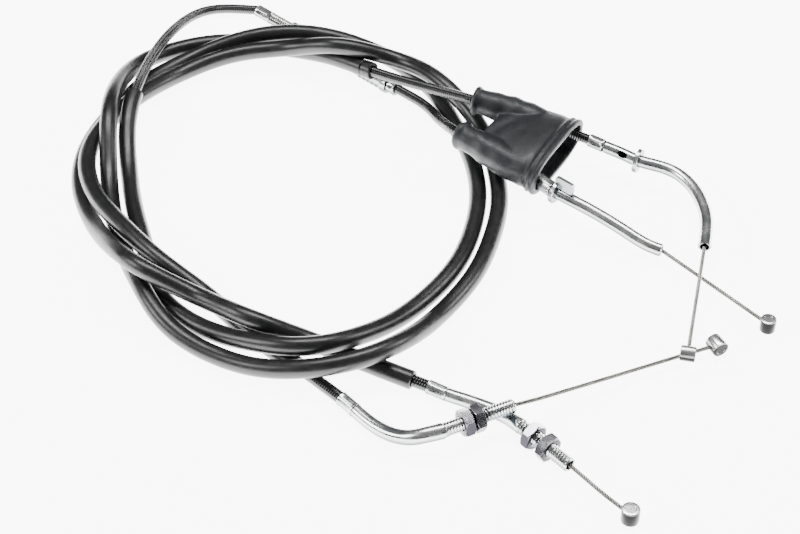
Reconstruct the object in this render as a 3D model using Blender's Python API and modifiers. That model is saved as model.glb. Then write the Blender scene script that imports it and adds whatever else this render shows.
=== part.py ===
"""Motorcycle throttle cable set: a return cable and a pull cable sharing one rubber boot.

Lengths in metres, +Z up, the set lies coiled on the ground plane z = 0.
Each cable is built in layers on one centre line: sleeve, conduit, liner and inner wire.
"""
import math
import types

import bmesh
import bpy
import numpy as np
from mathutils import Matrix, Vector

OBJECT_NAME = "throttle_cable_set"

# The cable points below are measured from the middle of the coil; this moves the
# origin to the middle of the bottom of the object's box.
ORIGIN = Vector((0.00363, 0.02220, 0.0))

# Layer radii
SLEEVE_OUTER = 0.0039
SLEEVE_INNER = 0.0029
CONDUIT_OUTER = 0.00235
CONDUIT_INNER = 0.00145
LINER_OUTER = 0.00115
LINER_INNER = 0.00085
HIDDEN_WIRE = 0.0005
WIRE_RADIUS = 0.0007
BAND_OUTER = 0.0041
BAND_INNER = 0.0027

# Metal end fittings; gaps keep neighbouring pieces apart
PIPE_OUTER = 0.0028
PIPE_WIDE = 0.0032
PIPE_BORE = 0.0018
THREAD_RADIUS = 0.0030
STEP_LONG = 0.0015
FERRULE_OUTER = 0.0030
FERRULE_WIDE = 0.0036
FERRULE_INNER = 0.00262
GAP = 0.0003
WIDE_GAP = 0.0005
NUT_ACROSS_FLATS = 0.010
NUT_THICK = 0.0042
NUT_HOLE = 0.0033
NUT_CUT_LONG = 0.020
NUT_TURNS = (0.35, 0.95)
RETURN_NUTS = (0.0100, 0.0149)
PULL_NUTS = (0.0067, 0.0146)
TAIL = 0.0254
FLANGE_RADIUS = 0.0055
FLANGE_THICK = 0.0020
FLANGE_HOLE = 0.0031
FLAG_RING = 0.0052
PLATE_TOP = 0.0090
PLATE_LONG = 0.0092
PLATE_THICK = 0.0016
PLATE_OFF_PIPE = 0.0006
PLATE_OVERLAP = 0.0002
HOLE_RADIUS = 0.0012
HOLE_LONG = 0.003
HOLE_OUT = 0.0026
HOLE_STRETCH = 1.6
HOLE_FACING = Vector((-0.35, -0.75, 0.55))
NIPPLE_RADIUS = 0.0035
NIPPLE_LONG = 0.0066
GRIP_NIPPLE_RADIUS = 0.0032
GRIP_NIPPLE_LONG = 0.0062
NIPPLE_HOLE = 0.0010
NIPPLE_GAP = 0.0003
WIRE_ENTRY_SHARE = 0.25
GRIP_WIRE_INSIDE = 0.0020
INNER_WIRE_ENDS = (0.0005, 0.0040)
SEATED = 0.001
RETURN_LINER_IN_PIPE = 0.006
PULL_LINER_IN_PIPE = 0.010

# In-line adjuster, distances from its rear end
REAR_FERRULE = (0.0003, 0.0100)
SCREW = (0.0104, 0.0600)
SCREW_BORE = 0.0027
INLINE_NUT = 0.0262
INLINE_NUT_FLATS = 0.0080
INLINE_NUT_TURN = 0.3
INLINE_LEAD = 0.006
BARREL = (0.0320, 0.0880)
BARREL_RADIUS = 0.0038
BARREL_BORE = 0.0033
BARREL_RIB = 0.0042
BARREL_RIBS = 5
RIB_PITCH = 0.0026
RIB_EDGE = 0.0004
RIB_LONG = 0.0018
FIRST_RIB = 0.0055
BARREL_RING = 0.0045
BARREL_RING_LONG = 0.0035
BARREL_RING_NECK = 0.0005
FRONT_FERRULE = (0.0884, 0.0927)

# Boot
BOOT_MOUTH_WIDE = 0.0490
BOOT_MOUTH_HIGH = 0.0210
BOOT_OPEN_WIDE = 0.0430
BOOT_OPEN_HIGH = 0.0148
NECK_SET_IN = 0.003
BODY_SQUARENESS = 2.6
HOLLOW_SQUARENESS = 3.0

# Longest steps between points along the tubes, and how far a chord may stray
SLEEVE_SPACING = 0.0200
BARE_SPACING = 0.0120
PIPE_SPACING = 0.0060
CHORD_ERROR = 0.00034
PER_SPAN = 24
CLOSEST = 0.0010
STEP_SHRINK = 0.93
THREAD_LEAD = 0.005

# Return cable: engine pipe, housing, grip elbow
RETURN_THREAD_TIP = (0.0436, -0.0888, 0.0103)
RETURN_THREAD_BACK = (0.0159, -0.1021, 0.0103)
RETURN_PIPE = [
    (0.0106, -0.1033, 0.0097), (0.0053, -0.1032, 0.0080), (0.0008, -0.1013, 0.0060),
    (-0.0038, -0.0983, 0.0044), (-0.0085, -0.0943, 0.0034), (-0.0127, -0.0901, 0.0031),
    (-0.0171, -0.0850, 0.0030),
]
RETURN_ROUTE = [
    (-0.0230, -0.0785, 0.0031), (-0.0425, -0.0605, 0.0042), (-0.0615, -0.0425, 0.0046),
    (-0.0795, -0.0235, 0.0062), (-0.1000, -0.0085, 0.0125), (-0.1180, 0.0125, 0.0135),
    (-0.1315, 0.0340, 0.0120), (-0.1375, 0.0590, 0.0120), (-0.1315, 0.0845, 0.0109),
    (-0.1190, 0.1075, 0.0085), (-0.1015, 0.1275, 0.0060), (-0.0780, 0.1375, 0.0090),
    (-0.0520, 0.1385, 0.0120), (-0.0275, 0.1290, 0.0200), (-0.0020, 0.1275, 0.0135),
    (0.0175, 0.1100, 0.0149), (0.0346, 0.0880, 0.0083), (0.0413, 0.0650, 0.0051),
    (0.0433, 0.0395, 0.0041), (0.0390, 0.0135, 0.0042), (0.0300, -0.0115, 0.0045),
    (0.0155, -0.0340, 0.0045), (0.0010, -0.0555, 0.0116), (-0.0205, -0.0690, 0.0136),
    (-0.0470, -0.0680, 0.0085), (-0.0700, -0.0580, 0.0042), (-0.0924, -0.0429, 0.0064),
    (-0.1065, -0.0215, 0.0100), (-0.1160, 0.0030, 0.0055), (-0.1235, 0.0280, 0.0042),
    (-0.1280, 0.0535, 0.0090), (-0.1295, 0.0775, 0.0195), (-0.1290, 0.1050, 0.0158),
    (-0.1230, 0.1325, 0.0070), (-0.1065, 0.1480, 0.0042), (-0.0810, 0.1535, 0.0045),
    (-0.0550, 0.1485, 0.0045), (-0.0330, 0.1350, 0.0096), (-0.0120, 0.1190, 0.0128),
    (0.0100, 0.1040, 0.0160), (0.0305, 0.0886, 0.0208),
]
RETURN_IN_BOOT = [(0.0448, 0.0837, 0.0195), (0.0620, 0.0775, 0.0160), (0.0735, 0.0732, 0.0144)]
RETURN_GRIP = [
    (0.0840, 0.0687, 0.0131), (0.0902, 0.0646, 0.0129), (0.0987, 0.0594, 0.0124),
    (0.1045, 0.0557, 0.0120), (0.1138, 0.0519, 0.0118), (0.1212, 0.0472, 0.0114),
    (0.1265, 0.0395, 0.0109), (0.1294, 0.0305, 0.0104), (0.1304, 0.0199, 0.0100),
    (0.1293, 0.0107, 0.0097), (0.1277, 0.0021, 0.0095),
]
RETURN_WIRE_WAY = [(0.0532, -0.0847, 0.0094), (0.0633, -0.0793, 0.0078),
                   (0.0837, -0.0686, 0.0050), (0.1041, -0.0594, 0.0040)]
RETURN_ENGINE_NIPPLE = (0.1272, -0.0498, 0.0037)
RETURN_GRIP_NIPPLE = (0.1139, -0.0598, 0.0090)

# Pull cable: engine pipe, housing to the in-line adjuster
PULL_THREAD_TIP = (0.0638, -0.1155, 0.0059)
PULL_THREAD_BACK = (0.0463, -0.0956, 0.0059)
PULL_PIPE = [
    (0.0439, -0.0919, 0.0046), (0.0406, -0.0879, 0.0034), (0.0349, -0.0841, 0.0030),
    (0.0292, -0.0812, 0.0030), (0.0234, -0.0785, 0.0030), (0.0184, -0.0763, 0.0031),
]
PULL_ROUTE = [
    (0.0110, -0.0725, 0.0036), (-0.0125, -0.0610, 0.0046), (-0.0360, -0.0500, 0.0063),
    (-0.0600, -0.0460, 0.0150), (-0.0825, -0.0300, 0.0121), (-0.1050, -0.0210, 0.0190),
    (-0.1210, -0.0005, 0.0135), (-0.1315, 0.0220, 0.0055), (-0.1400, 0.0465, 0.0042),
    (-0.1405, 0.0730, 0.0042), (-0.1325, 0.0980, 0.0042), (-0.1195, 0.1210, 0.0042),
    (-0.1005, 0.1390, 0.0045), (-0.0765, 0.1470, 0.0103), (-0.0505, 0.1475, 0.0144),
    (-0.0250, 0.1425, 0.0131), (-0.0015, 0.1365, 0.0050), (0.0145, 0.1170, 0.0042),
    (0.0243, 0.0927, 0.0040), (0.0315, 0.0675, 0.0040), (0.0340, 0.0415, 0.0042),
    (0.0300, 0.0150, 0.0042), (0.0205, -0.0090, 0.0042), (0.0045, -0.0305, 0.0045),
    (-0.0125, -0.0490, 0.0100), (-0.0355, -0.0615, 0.0150), (-0.0600, -0.0540, 0.0101),
    (-0.0815, -0.0400, 0.0048), (-0.0990, -0.0210, 0.0042), (-0.1070, 0.0040, 0.0042),
    (-0.1140, 0.0290, 0.0045), (-0.1195, 0.0555, 0.0047), (-0.1220, 0.0805, 0.0133),
    (-0.1190, 0.1050, 0.0175), (-0.1150, 0.1340, 0.0128), (-0.1075, 0.1565, 0.0104),
    (-0.0940, 0.1810, 0.0034), (-0.0695, 0.1790, 0.0049),
]
ADJUSTER_REAR = (-0.0695, 0.1790, 0.0049)
ADJUSTER_FRONT = (-0.0010, 0.1160, 0.0049)
PULL_TO_BOOT = [
    (0.0105, 0.1070, 0.0034), (0.0165, 0.0945, 0.0060), (0.0205, 0.0820, 0.0110),
    (0.0250, 0.0675, 0.0185),
]
PULL_IN_BOOT = [(0.0351, 0.0587, 0.0180), (0.0480, 0.0500, 0.0150)]
PULL_GRIP = [
    (0.0594, 0.0421, 0.0126), (0.0660, 0.0356, 0.0122), (0.0672, 0.0345, 0.0121),
    (0.0763, 0.0278, 0.0113), (0.0821, 0.0239, 0.0104), (0.0890, 0.0189, 0.0092),
    (0.0967, 0.0130, 0.0076), (0.1040, 0.0078, 0.0060), (0.1106, 0.0048, 0.0050),
]
PULL_WIRE_WAY = [(0.0694, -0.1217, 0.0053), (0.0760, -0.1286, 0.0043)]
PULL_ENGINE_NIPPLE = (0.0847, -0.1372, 0.0036)
PULL_GRIP_NIPPLE = (0.1494, -0.0378, 0.0036)

# Where the sleeves begin and end, measured along the housings from the engine end
RETURN_SLEEVE = (0.0245, 1.0015)
PULL_SLEEVE = (0.0065, 0.8600)
BAND_LONG = 0.0050


def remove_old_objects():
    for old in list(bpy.data.objects):
        bpy.data.objects.remove(old, do_unlink=True)


def make_collection(name, hidden=False):
    collection = bpy.data.collections.new(name)
    bpy.context.scene.collection.children.link(collection)
    collection.hide_render = hidden
    return collection


def make_material(name, colour, metallic, roughness):
    material = bpy.data.materials.new(name)
    material.use_nodes = True
    shader = material.node_tree.nodes["Principled BSDF"]
    shader.inputs["Base Color"].default_value = (*colour, 1.0)
    shader.inputs["Metallic"].default_value = metallic
    shader.inputs["Roughness"].default_value = roughness
    material.diffuse_color = (*colour, 1.0)
    return material


def place(points):
    return [Vector(p) - ORIGIN for p in points]


# ---------------------------------------------------------------- centre lines
def spline_slopes(knots, marks):
    """Slopes at the knots of a natural cubic spline."""
    count = len(knots)
    spans = np.diff(marks)
    rises = np.diff(knots, axis=0) / spans[:, None]
    system = np.zeros((count, count))
    right = np.zeros((count, 3))
    system[0, :2] = (2.0, 1.0)
    right[0] = 3.0 * rises[0]
    for i in range(1, count - 1):
        before = 1.0 / spans[i - 1]
        after = 1.0 / spans[i]
        system[i, i - 1:i + 2] = (before, 2.0 * (before + after), after)
        right[i] = 3.0 * (rises[i - 1] * before + rises[i] * after)
    system[-1, -2:] = (1.0, 2.0)
    right[-1] = 3.0 * rises[-1]
    return np.linalg.solve(system, right)


def smooth_line(points, per_span=PER_SPAN, even=False):
    """Close points on the smooth curve through the given points."""
    knots = np.array(points)
    lengths = np.linalg.norm(np.diff(knots, axis=0), axis=1)
    steps = np.ones(len(lengths)) if even else np.sqrt(lengths / lengths.mean())
    marks = np.concatenate([[0.0], np.cumsum(steps)])
    slopes = spline_slopes(knots, marks)
    line = []
    for i, step in enumerate(steps):
        for t in np.linspace(0.0, 1.0, per_span, endpoint=False):
            point = knots[i] * (2 * t**3 - 3 * t**2 + 1)
            point = point + knots[i + 1] * (3 * t**2 - 2 * t**3)
            point = point + slopes[i] * step * (t**3 - 2 * t**2 + t)
            point = point + slopes[i + 1] * step * (t**3 - t**2)
            line.append(Vector(point))
    line.append(Vector(knots[-1]))
    return line


def distances(line):
    run = [0.0]
    for a, b in zip(line, line[1:]):
        run.append(run[-1] + (b - a).length)
    return run


def point_at(line, run, where):
    index = int(np.searchsorted(run, where))
    index = min(max(index, 1), len(line) - 1)
    span = max(run[index] - run[index - 1], 1e-9)
    return line[index - 1].lerp(line[index], (where - run[index - 1]) / span)


def direction_at(cable, where, reach=0.001):
    ahead = point_at(cable.line, cable.run, where + reach)
    behind = point_at(cable.line, cable.run, where - reach)
    return (ahead - behind).normalized()


def nearest_distance(cable, spot):
    spot = Vector(spot) - ORIGIN
    index = min(range(len(cable.line)), key=lambda i: (cable.line[i] - spot).length)
    return cable.run[index]


# ------------------------------------------------------------------ shape tools
def finish_object(obj, name, material, collection):
    obj.name = name
    obj.data.name = name
    obj.data.materials.clear()
    obj.data.materials.append(material)
    collection.objects.link(obj)
    return obj


def swept_mesh(name, line, radius, radii=None, capped=False, resolution=2):
    """Mesh of a round sweep along a line; radii are optional shares of the radius."""
    curve = bpy.data.curves.new(name + "_line", "CURVE")
    curve.dimensions = "3D"
    curve.bevel_depth = radius
    curve.bevel_resolution = resolution
    curve.use_fill_caps = capped
    spline = curve.splines.new("POLY")
    spline.points.add(len(line) - 1)
    for i, point in enumerate(line):
        spline.points[i].co = (*point, 1.0)
        spline.points[i].radius = radii[i] if radii else 1.0
    carrier = bpy.data.objects.new(name + "_carrier", curve)
    bpy.context.scene.collection.objects.link(carrier)
    graph = bpy.context.evaluated_depsgraph_get()
    mesh = bpy.data.meshes.new_from_object(carrier.evaluated_get(graph))
    bpy.data.objects.remove(carrier, do_unlink=True)
    bpy.data.curves.remove(curve)
    work = bmesh.new()
    work.from_mesh(mesh)
    bmesh.ops.remove_doubles(work, verts=work.verts, dist=1e-6)
    bmesh.ops.recalc_face_normals(work, faces=work.faces)
    if not capped:
        face_outward(work, line)
    work.to_mesh(mesh)
    work.free()
    return mesh


def face_outward(work, line):
    """Turn an open tube's faces so they look away from its centre line."""
    work.normal_update()
    facing = 0.0
    for face in work.faces:
        centre = face.calc_center_median()
        near = min(line, key=lambda p: (p - centre).length)
        facing += face.normal.dot(centre - near)
    if facing < 0:
        bmesh.ops.reverse_faces(work, faces=work.faces)


def tube(name, line, outer, inner, material, kit, radii=None, resolution=2):
    """Hollow tube: an open sweep thickened inwards."""
    mesh = swept_mesh(name, line, outer, radii, False, resolution)
    obj = bpy.data.objects.new(name, mesh)
    finish_object(obj, name, material, kit.parts)
    shell = obj.modifiers.new("wall", "SOLIDIFY")
    shell.thickness = outer - inner
    shell.offset = -1.0
    shell.use_even_offset = True
    return obj


def rod(name, line, radius, material, kit, resolution=1):
    mesh = swept_mesh(name, line, radius, None, True, resolution)
    return finish_object(bpy.data.objects.new(name, mesh), name, material, kit.parts)


def axis_matrix(origin, axis, up=None):
    """Frame with local Z along the axis; local X close to the up direction."""
    z = Vector(axis).normalized()
    hint = Vector(up) if up else Vector((0.0, 0.0, 1.0))
    if abs(z.dot(hint)) > 0.95:
        hint = Vector((1.0, 0.0, 0.0))
    x = (hint - z * hint.dot(z)).normalized()
    y = z.cross(x)
    matrix = Matrix((x, y, z)).transposed().to_4x4()
    matrix.translation = origin
    return matrix


def turned(name, profile, matrix, material, kit, steps=16):
    """Turned piece: a closed (radius, height) outline spun about local Z."""
    mesh = bpy.data.meshes.new(name)
    corners = [(radius, 0.0, height) for radius, height in profile]
    edges = [(i, (i + 1) % len(corners)) for i in range(len(corners))]
    mesh.from_pydata(corners, edges, [])
    obj = bpy.data.objects.new(name, mesh)
    finish_object(obj, name, material, kit.parts)
    obj.matrix_world = matrix
    spin = obj.modifiers.new("spin", "SCREW")
    spin.steps = steps
    spin.render_steps = steps
    spin.use_merge_vertices = True
    spin.merge_threshold = 1e-5
    return obj


def ring_profile(outer, inner, length):
    """Outline of a plain ring of the given length centred on local Z = 0."""
    half = length / 2
    return [(outer, half), (outer, -half), (inner, -half), (inner, half)]


def cylinder_mesh(name, radius, length, sides):
    mesh = bpy.data.meshes.new(name)
    work = bmesh.new()
    bmesh.ops.create_cone(
        work, cap_ends=True, segments=sides, radius1=radius, radius2=radius, depth=length
    )
    work.to_mesh(mesh)
    work.free()
    return mesh


def hide_cutter(obj, cutters):
    cutters.objects.link(obj)
    obj.hide_render = True
    obj.display_type = "WIRE"


def cutter_cylinder(name, radius, length, matrix, kit, sides=12):
    obj = bpy.data.objects.new(name, cylinder_mesh(name, radius, length, sides))
    hide_cutter(obj, kit.cutters)
    obj.matrix_world = matrix
    return obj


def boolean(obj, other, operation):
    cut = obj.modifiers.new(operation.lower(), "BOOLEAN")
    cut.operation = operation
    cut.solver = "EXACT"
    cut.object = other


def hex_nut(name, centre, axis, turn, across_flats, kit):
    """Hexagonal lock nut: six-sided prism with a clearance hole for the thread."""
    corner_radius = across_flats / 2 / math.cos(math.radians(30))
    obj = bpy.data.objects.new(name, cylinder_mesh(name, corner_radius, NUT_THICK, 6))
    finish_object(obj, name, kit.steel, kit.parts)
    obj.matrix_world = axis_matrix(centre, axis) @ Matrix.Rotation(turn, 4, "Z")
    hole = cutter_cylinder(name + "_hole", NUT_HOLE, NUT_CUT_LONG,
                           axis_matrix(centre, axis), kit, 16)
    boolean(obj, hole, "DIFFERENCE")


def nipple(name, centre, axis, towards, radius, length, kit):
    """Barrel nipple with a blind side hole where the wire's end is cast in."""
    obj = bpy.data.objects.new(name, cylinder_mesh(name, radius, length, 20))
    finish_object(obj, name, kit.steel, kit.parts)
    obj.matrix_world = axis_matrix(centre, axis)
    hole = cutter_cylinder(name + "_hole", NIPPLE_HOLE, 1.5 * radius,
                           axis_matrix(centre + towards * radius, towards), kit)
    boolean(obj, hole, "DIFFERENCE")


# ------------------------------------------------------------------------- boot
def ring(centre, across, upward, half_wide, half_high, squareness, count=24):
    """Rounded ring: squareness 2 is an ellipse, larger numbers are boxier."""
    points = []
    for i in range(count):
        angle = 2 * math.pi * i / count
        c = math.cos(angle)
        s = math.sin(angle)
        x = math.copysign(abs(c) ** (2 / squareness), c) * half_wide
        y = math.copysign(abs(s) ** (2 / squareness), s) * half_high
        points.append(centre + across * x + upward * y)
    return points


def loft(name, rings):
    """Closed mesh through a row of rings, capped at both ends."""
    work = bmesh.new()
    rows = [[work.verts.new(p) for p in points] for points in rings]
    count = len(rows[0])
    for a, b in zip(rows, rows[1:]):
        for i in range(count):
            j = (i + 1) % count
            work.faces.new((a[i], a[j], b[j], b[i]))
    work.faces.new(rows[0][::-1])
    work.faces.new(rows[-1])
    bmesh.ops.recalc_face_normals(work, faces=work.faces)
    mesh = bpy.data.meshes.new(name)
    work.to_mesh(mesh)
    work.free()
    return bpy.data.objects.new(name, mesh)


BOOT_MOUTH = (0.0697, 0.0556, 0.0137)
BOOT_AXIS = Vector((0.86, -0.51, -0.075)).normalized()
BOOT_ACROSS = Vector((0.51, 0.86, 0.0)).normalized()
BOOT_UPWARD = BOOT_AXIS.cross(BOOT_ACROSS).normalized()

# Body sections: distance behind the mouth, share of mouth width and of mouth height
BOOT_BODY = [
    (0.0000, 0.96, 0.92), (0.0012, 1.00, 1.00), (0.0036, 1.00, 1.00), (0.0046, 0.93, 0.92),
    (0.0062, 0.93, 0.92), (0.0074, 0.97, 0.97), (0.0095, 0.95, 0.94), (0.0160, 0.90, 0.80),
    (0.0230, 0.84, 0.64), (0.0290, 0.76, 0.56), (0.0335, 0.66, 0.50),
]
BOOT_HOLLOW = [
    (-0.0020, 1.00, 1.00), (0.0040, 1.00, 1.00), (0.0160, 0.90, 0.78),
    (0.0230, 0.84, 0.60), (0.0290, 0.70, 0.46),
]
# Limb sections: distance from the neck rim, radius
LIMB = [
    (0.0000, 0.0061), (0.0004, 0.0066), (0.0018, 0.0066), (0.0024, 0.0060),
    (0.0060, 0.0060), (0.0100, 0.0062), (0.0150, 0.0066), (0.0200, 0.0067),
    (0.0250, 0.0066), (0.0300, 0.0064),
]
LIMB_BORE = [
    (-0.0020, 0.0030), (0.0020, 0.0030), (0.0060, 0.0030), (0.0100, 0.0030),
    (0.0140, 0.0040), (0.0200, 0.0046), (0.0260, 0.0046), (0.0330, 0.0046),
]


def boot_sections(rows, wide, high, squareness):
    rings = []
    for behind, share_wide, share_high in rows:
        centre = Vector(BOOT_MOUTH) - ORIGIN - BOOT_AXIS * behind
        half_wide = wide / 2 * share_wide
        half_high = high / 2 * share_high
        rings.append(ring(centre, BOOT_ACROSS, BOOT_UPWARD, half_wide, half_high, squareness))
    return rings


def limb_sections(cable, rows):
    """Round sections around a conduit's line, from the neck rim forwards."""
    rings = []
    for where, radius in rows:
        centre = point_at(cable.line, cable.run, cable.neck + where)
        ahead = direction_at(cable, cable.neck + where)
        across = Vector((0.0, 0.0, 1.0)).cross(ahead).normalized()
        rings.append(ring(centre, across, ahead.cross(across), radius, radius, 2.0, 16))
    return rings


def build_boot(upper, lower, kit):
    """One rubber boot: two necks that run together into a flat oval mouth."""
    body = boot_sections(BOOT_BODY, BOOT_MOUTH_WIDE, BOOT_MOUTH_HIGH, BODY_SQUARENESS)
    boot = finish_object(loft("cable_boot", body), "cable_boot", kit.rubber, kit.parts)
    for side, cable in (("upper", upper), ("lower", lower)):
        limb = loft("boot_limb_" + side, limb_sections(cable, LIMB))
        hide_cutter(limb, kit.cutters)
        boolean(boot, limb, "UNION")
    hollow = loft("boot_hollow",
                  boot_sections(BOOT_HOLLOW, BOOT_OPEN_WIDE, BOOT_OPEN_HIGH,
                                HOLLOW_SQUARENESS))
    hide_cutter(hollow, kit.cutters)
    boolean(boot, hollow, "DIFFERENCE")
    for side, cable in (("upper", upper), ("lower", lower)):
        bore = loft("boot_bore_" + side, limb_sections(cable, LIMB_BORE))
        hide_cutter(bore, kit.cutters)
        boolean(boot, bore, "DIFFERENCE")


# --------------------------------------------------------------- cable assembly
def engine_line(tip, back, pipe, route):
    """Centre line from the thread's mouth through the bent pipe and the housing."""
    tip, back = place([tip, back])
    housing = smooth_line(place(route), even=True)
    axis = (tip - back).normalized()
    lead = back + axis * THREAD_LEAD
    bend = smooth_line([lead, back] + place(pipe) + [housing[0], housing[6]])
    bend = bend[PER_SPAN:-PER_SPAN]
    cable = types.SimpleNamespace(axis=axis, threaded=(tip - back).length)
    cable.line = [tip] + bend[:-1] + housing
    cable.start = cable.threaded + distances(bend)[-1]
    cable.stop = cable.start + distances(housing)[-1]
    return cable


def finish_line(cable, ending, sleeve):
    """Add the line's last stretch and choose the marks its layers share up to there."""
    cable.line = cable.line + ending
    cable.run = distances(cable.line)
    cable.end = cable.run[-1]
    cable.sleeve = (cable.start + sleeve[0], cable.start + sleeve[1])
    cable.marks = shared_marks(cable, cable.threaded, cable.start, PIPE_SPACING)
    cable.marks += shared_marks(cable, cable.start, cable.sleeve[0], BARE_SPACING)
    cable.marks += shared_marks(cable, *cable.sleeve, SLEEVE_SPACING)


def shared_marks(cable, start, end, most):
    """Distances every layer of one cable shares, so nested tubes stay coaxial.

    Each step is as long as it can be while its chord stays close to the true line.
    """
    marks = [start]
    while marks[-1] < end - CLOSEST:
        step = most
        while step > CLOSEST and chord_error(cable, marks[-1], step) > CHORD_ERROR:
            step *= STEP_SHRINK
        marks.append(min(marks[-1] + step, end))
    return marks


def chord_error(cable, start, step):
    a, middle, b = [point_at(cable.line, cable.run, start + step * t) for t in (0, 0.5, 1)]
    return (middle - (a + b) / 2).length


def stretch(cable, start, end):
    """Points from start to end along a cable, through its shared marks."""
    used = [start]
    for mark in cable.marks:
        if used[-1] + CLOSEST < mark < end - CLOSEST:
            used.append(mark)
    return [point_at(cable.line, cable.run, where) for where in used + [end]]


def build_adjuster(name, cable, pipe_end, kit):
    """Bent pipe whose straight first stretch is stepped down and threaded."""
    straight = stretch(cable, 0.0, cable.threaded - STEP_LONG)
    bend = stretch(cable, cable.threaded, pipe_end)
    radii = [THREAD_RADIUS / PIPE_OUTER] * len(straight)
    for share in np.linspace(PIPE_WIDE / PIPE_OUTER, 1.0, len(bend)):
        radii.append(float(share))
    tube(name, straight + bend, PIPE_OUTER, PIPE_BORE, kit.zinc, kit, radii, 3)


def build_nuts(prefix, cable, places, kit):
    """Two loose lock nuts on the thread, on either side of the bracket's place."""
    for name, from_back, turn in zip(("inner", "outer"), places, NUT_TURNS):
        centre = point_at(cable.line, cable.run, cable.threaded - from_back)
        hex_nut(f"{prefix}_lock_nut_{name}", centre, cable.axis, turn, NUT_ACROSS_FLATS, kit)


def wire_entry(centre, along, radius):
    """Where a wire's end stops inside its nipple."""
    return centre - along * (WIRE_ENTRY_SHARE * radius + NIPPLE_GAP)


def build_engine_wire(prefix, cable, way, nipple_at, kit):
    """Straight tail inside the thread, then the bare wire; gives its nipple's place."""
    centre = place([nipple_at])[0]
    tip = cable.line[0]
    along = Vector((centre.x - tip.x, centre.y - tip.y, 0.0)).normalized()
    end = wire_entry(centre, along, NIPPLE_RADIUS)
    bare = smooth_line([tip] + place(way) + [end], per_span=3)
    points = [tip - cable.axis * TAIL] + bare
    rod(prefix + "_engine_wire", points, WIRE_RADIUS, kit.wire, kit)
    return centre, along


def build_grip_wire(prefix, cable, nipple_at, kit):
    """Bare wire from just inside the pipe's mouth; gives its nipple's place."""
    centre = place([nipple_at])[0]
    mouth = cable.line[-1]
    along = (centre - mouth).normalized()
    end = wire_entry(centre, along, GRIP_NIPPLE_RADIUS)
    inside = point_at(cable.line, cable.run, cable.end - GRIP_WIRE_INSIDE)
    points = [inside, mouth, mouth.lerp(end, 1 / 3), mouth.lerp(end, 2 / 3), end]
    rod(prefix + "_grip_wire", points, WIRE_RADIUS, kit.wire, kit)
    return centre, along


def build_layers(prefix, cable, conduits, liners, kit):
    """Sleeve, conduits, liners and the fixed middle stretch of the inner wire."""
    tube(prefix + "_sleeve", stretch(cable, *cable.sleeve), SLEEVE_OUTER, SLEEVE_INNER,
         kit.rubber, kit)
    for name, ends in conduits:
        tube(prefix + name, stretch(cable, *ends), CONDUIT_OUTER, CONDUIT_INNER,
             kit.plastic, kit)
    for name, ends in liners:
        tube(prefix + name, stretch(cable, *ends), LINER_OUTER, LINER_INNER,
             kit.plastic, kit, None, 1)
    wire = stretch(cable, cable.threaded - INNER_WIRE_ENDS[0], cable.end - INNER_WIRE_ENDS[1])
    rod(prefix + "_inner_wire", wire, HIDDEN_WIRE, kit.wire, kit, 0)


def across_of(along):
    return Vector((-along.y, along.x, 0.0)).normalized()


def build_return(kit):
    """Return cable: elbow adjuster, housing, 90 degree elbow at the grip."""
    cable = engine_line(RETURN_THREAD_TIP, RETURN_THREAD_BACK, RETURN_PIPE, RETURN_ROUTE)
    back_a_bit = cable.line[-7]
    last = cable.line[-1]
    ending = smooth_line([back_a_bit, last] + place(RETURN_IN_BOOT + RETURN_GRIP))
    finish_line(cable, ending[PER_SPAN + 1:], RETURN_SLEEVE)
    grip_from = nearest_distance(cable, RETURN_GRIP[0])
    grip_to = nearest_distance(cable, RETURN_GRIP[1])
    cable.marks += shared_marks(cable, cable.sleeve[1], grip_from, BARE_SPACING)
    cable.marks += shared_marks(cable, grip_from, cable.end, PIPE_SPACING)
    cable.neck = cable.stop + NECK_SET_IN
    ferrule = nearest_distance(cable, RETURN_PIPE[-1])
    build_layers("return", cable, [("_conduit", (ferrule + SEATED, grip_to - SEATED))],
                 [("_liner", (cable.threaded + SEATED, grip_to + RETURN_LINER_IN_PIPE))], kit)
    build_adjuster("return_elbow_adjuster", cable, ferrule - GAP, kit)
    tube("return_engine_ferrule", stretch(cable, ferrule, cable.start),
         FERRULE_OUTER, FERRULE_INNER, kit.zinc, kit, None, 3)
    tube("return_grip_ferrule", stretch(cable, grip_from, grip_to),
         FERRULE_OUTER, FERRULE_INNER, kit.zinc, kit, None, 3)
    band = cable.sleeve[1] + WIDE_GAP
    tube("return_sleeve_band", stretch(cable, band, band + BAND_LONG),
         BAND_OUTER, BAND_INNER, kit.rubber, kit, None, 3)
    build_nuts("return", cable, RETURN_NUTS, kit)
    elbow = tube("return_grip_elbow", stretch(cable, grip_to + WIDE_GAP, cable.end),
                 PIPE_OUTER, PIPE_BORE, kit.zinc, kit, None, 3)
    cut_inspection_hole(elbow, cable, nearest_distance(cable, RETURN_GRIP[2]), kit)
    flange = nearest_distance(cable, RETURN_GRIP[3])
    turned("return_grip_flange", ring_profile(FLANGE_RADIUS, FLANGE_HOLE, FLANGE_THICK),
           frame_on(cable, flange), kit.zinc, kit, 24)
    centre, along = build_engine_wire("return", cable, RETURN_WIRE_WAY,
                                      RETURN_ENGINE_NIPPLE, kit)
    nipple("return_engine_nipple", centre, across_of(along), -along,
           NIPPLE_RADIUS, NIPPLE_LONG, kit)
    centre, along = build_grip_wire("return", cable, RETURN_GRIP_NIPPLE, kit)
    nipple("return_grip_nipple", centre, across_of(along), -along,
           GRIP_NIPPLE_RADIUS, GRIP_NIPPLE_LONG, kit)
    return cable


def frame_on(cable, where):
    return axis_matrix(point_at(cable.line, cable.run, where), direction_at(cable, where))


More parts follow.
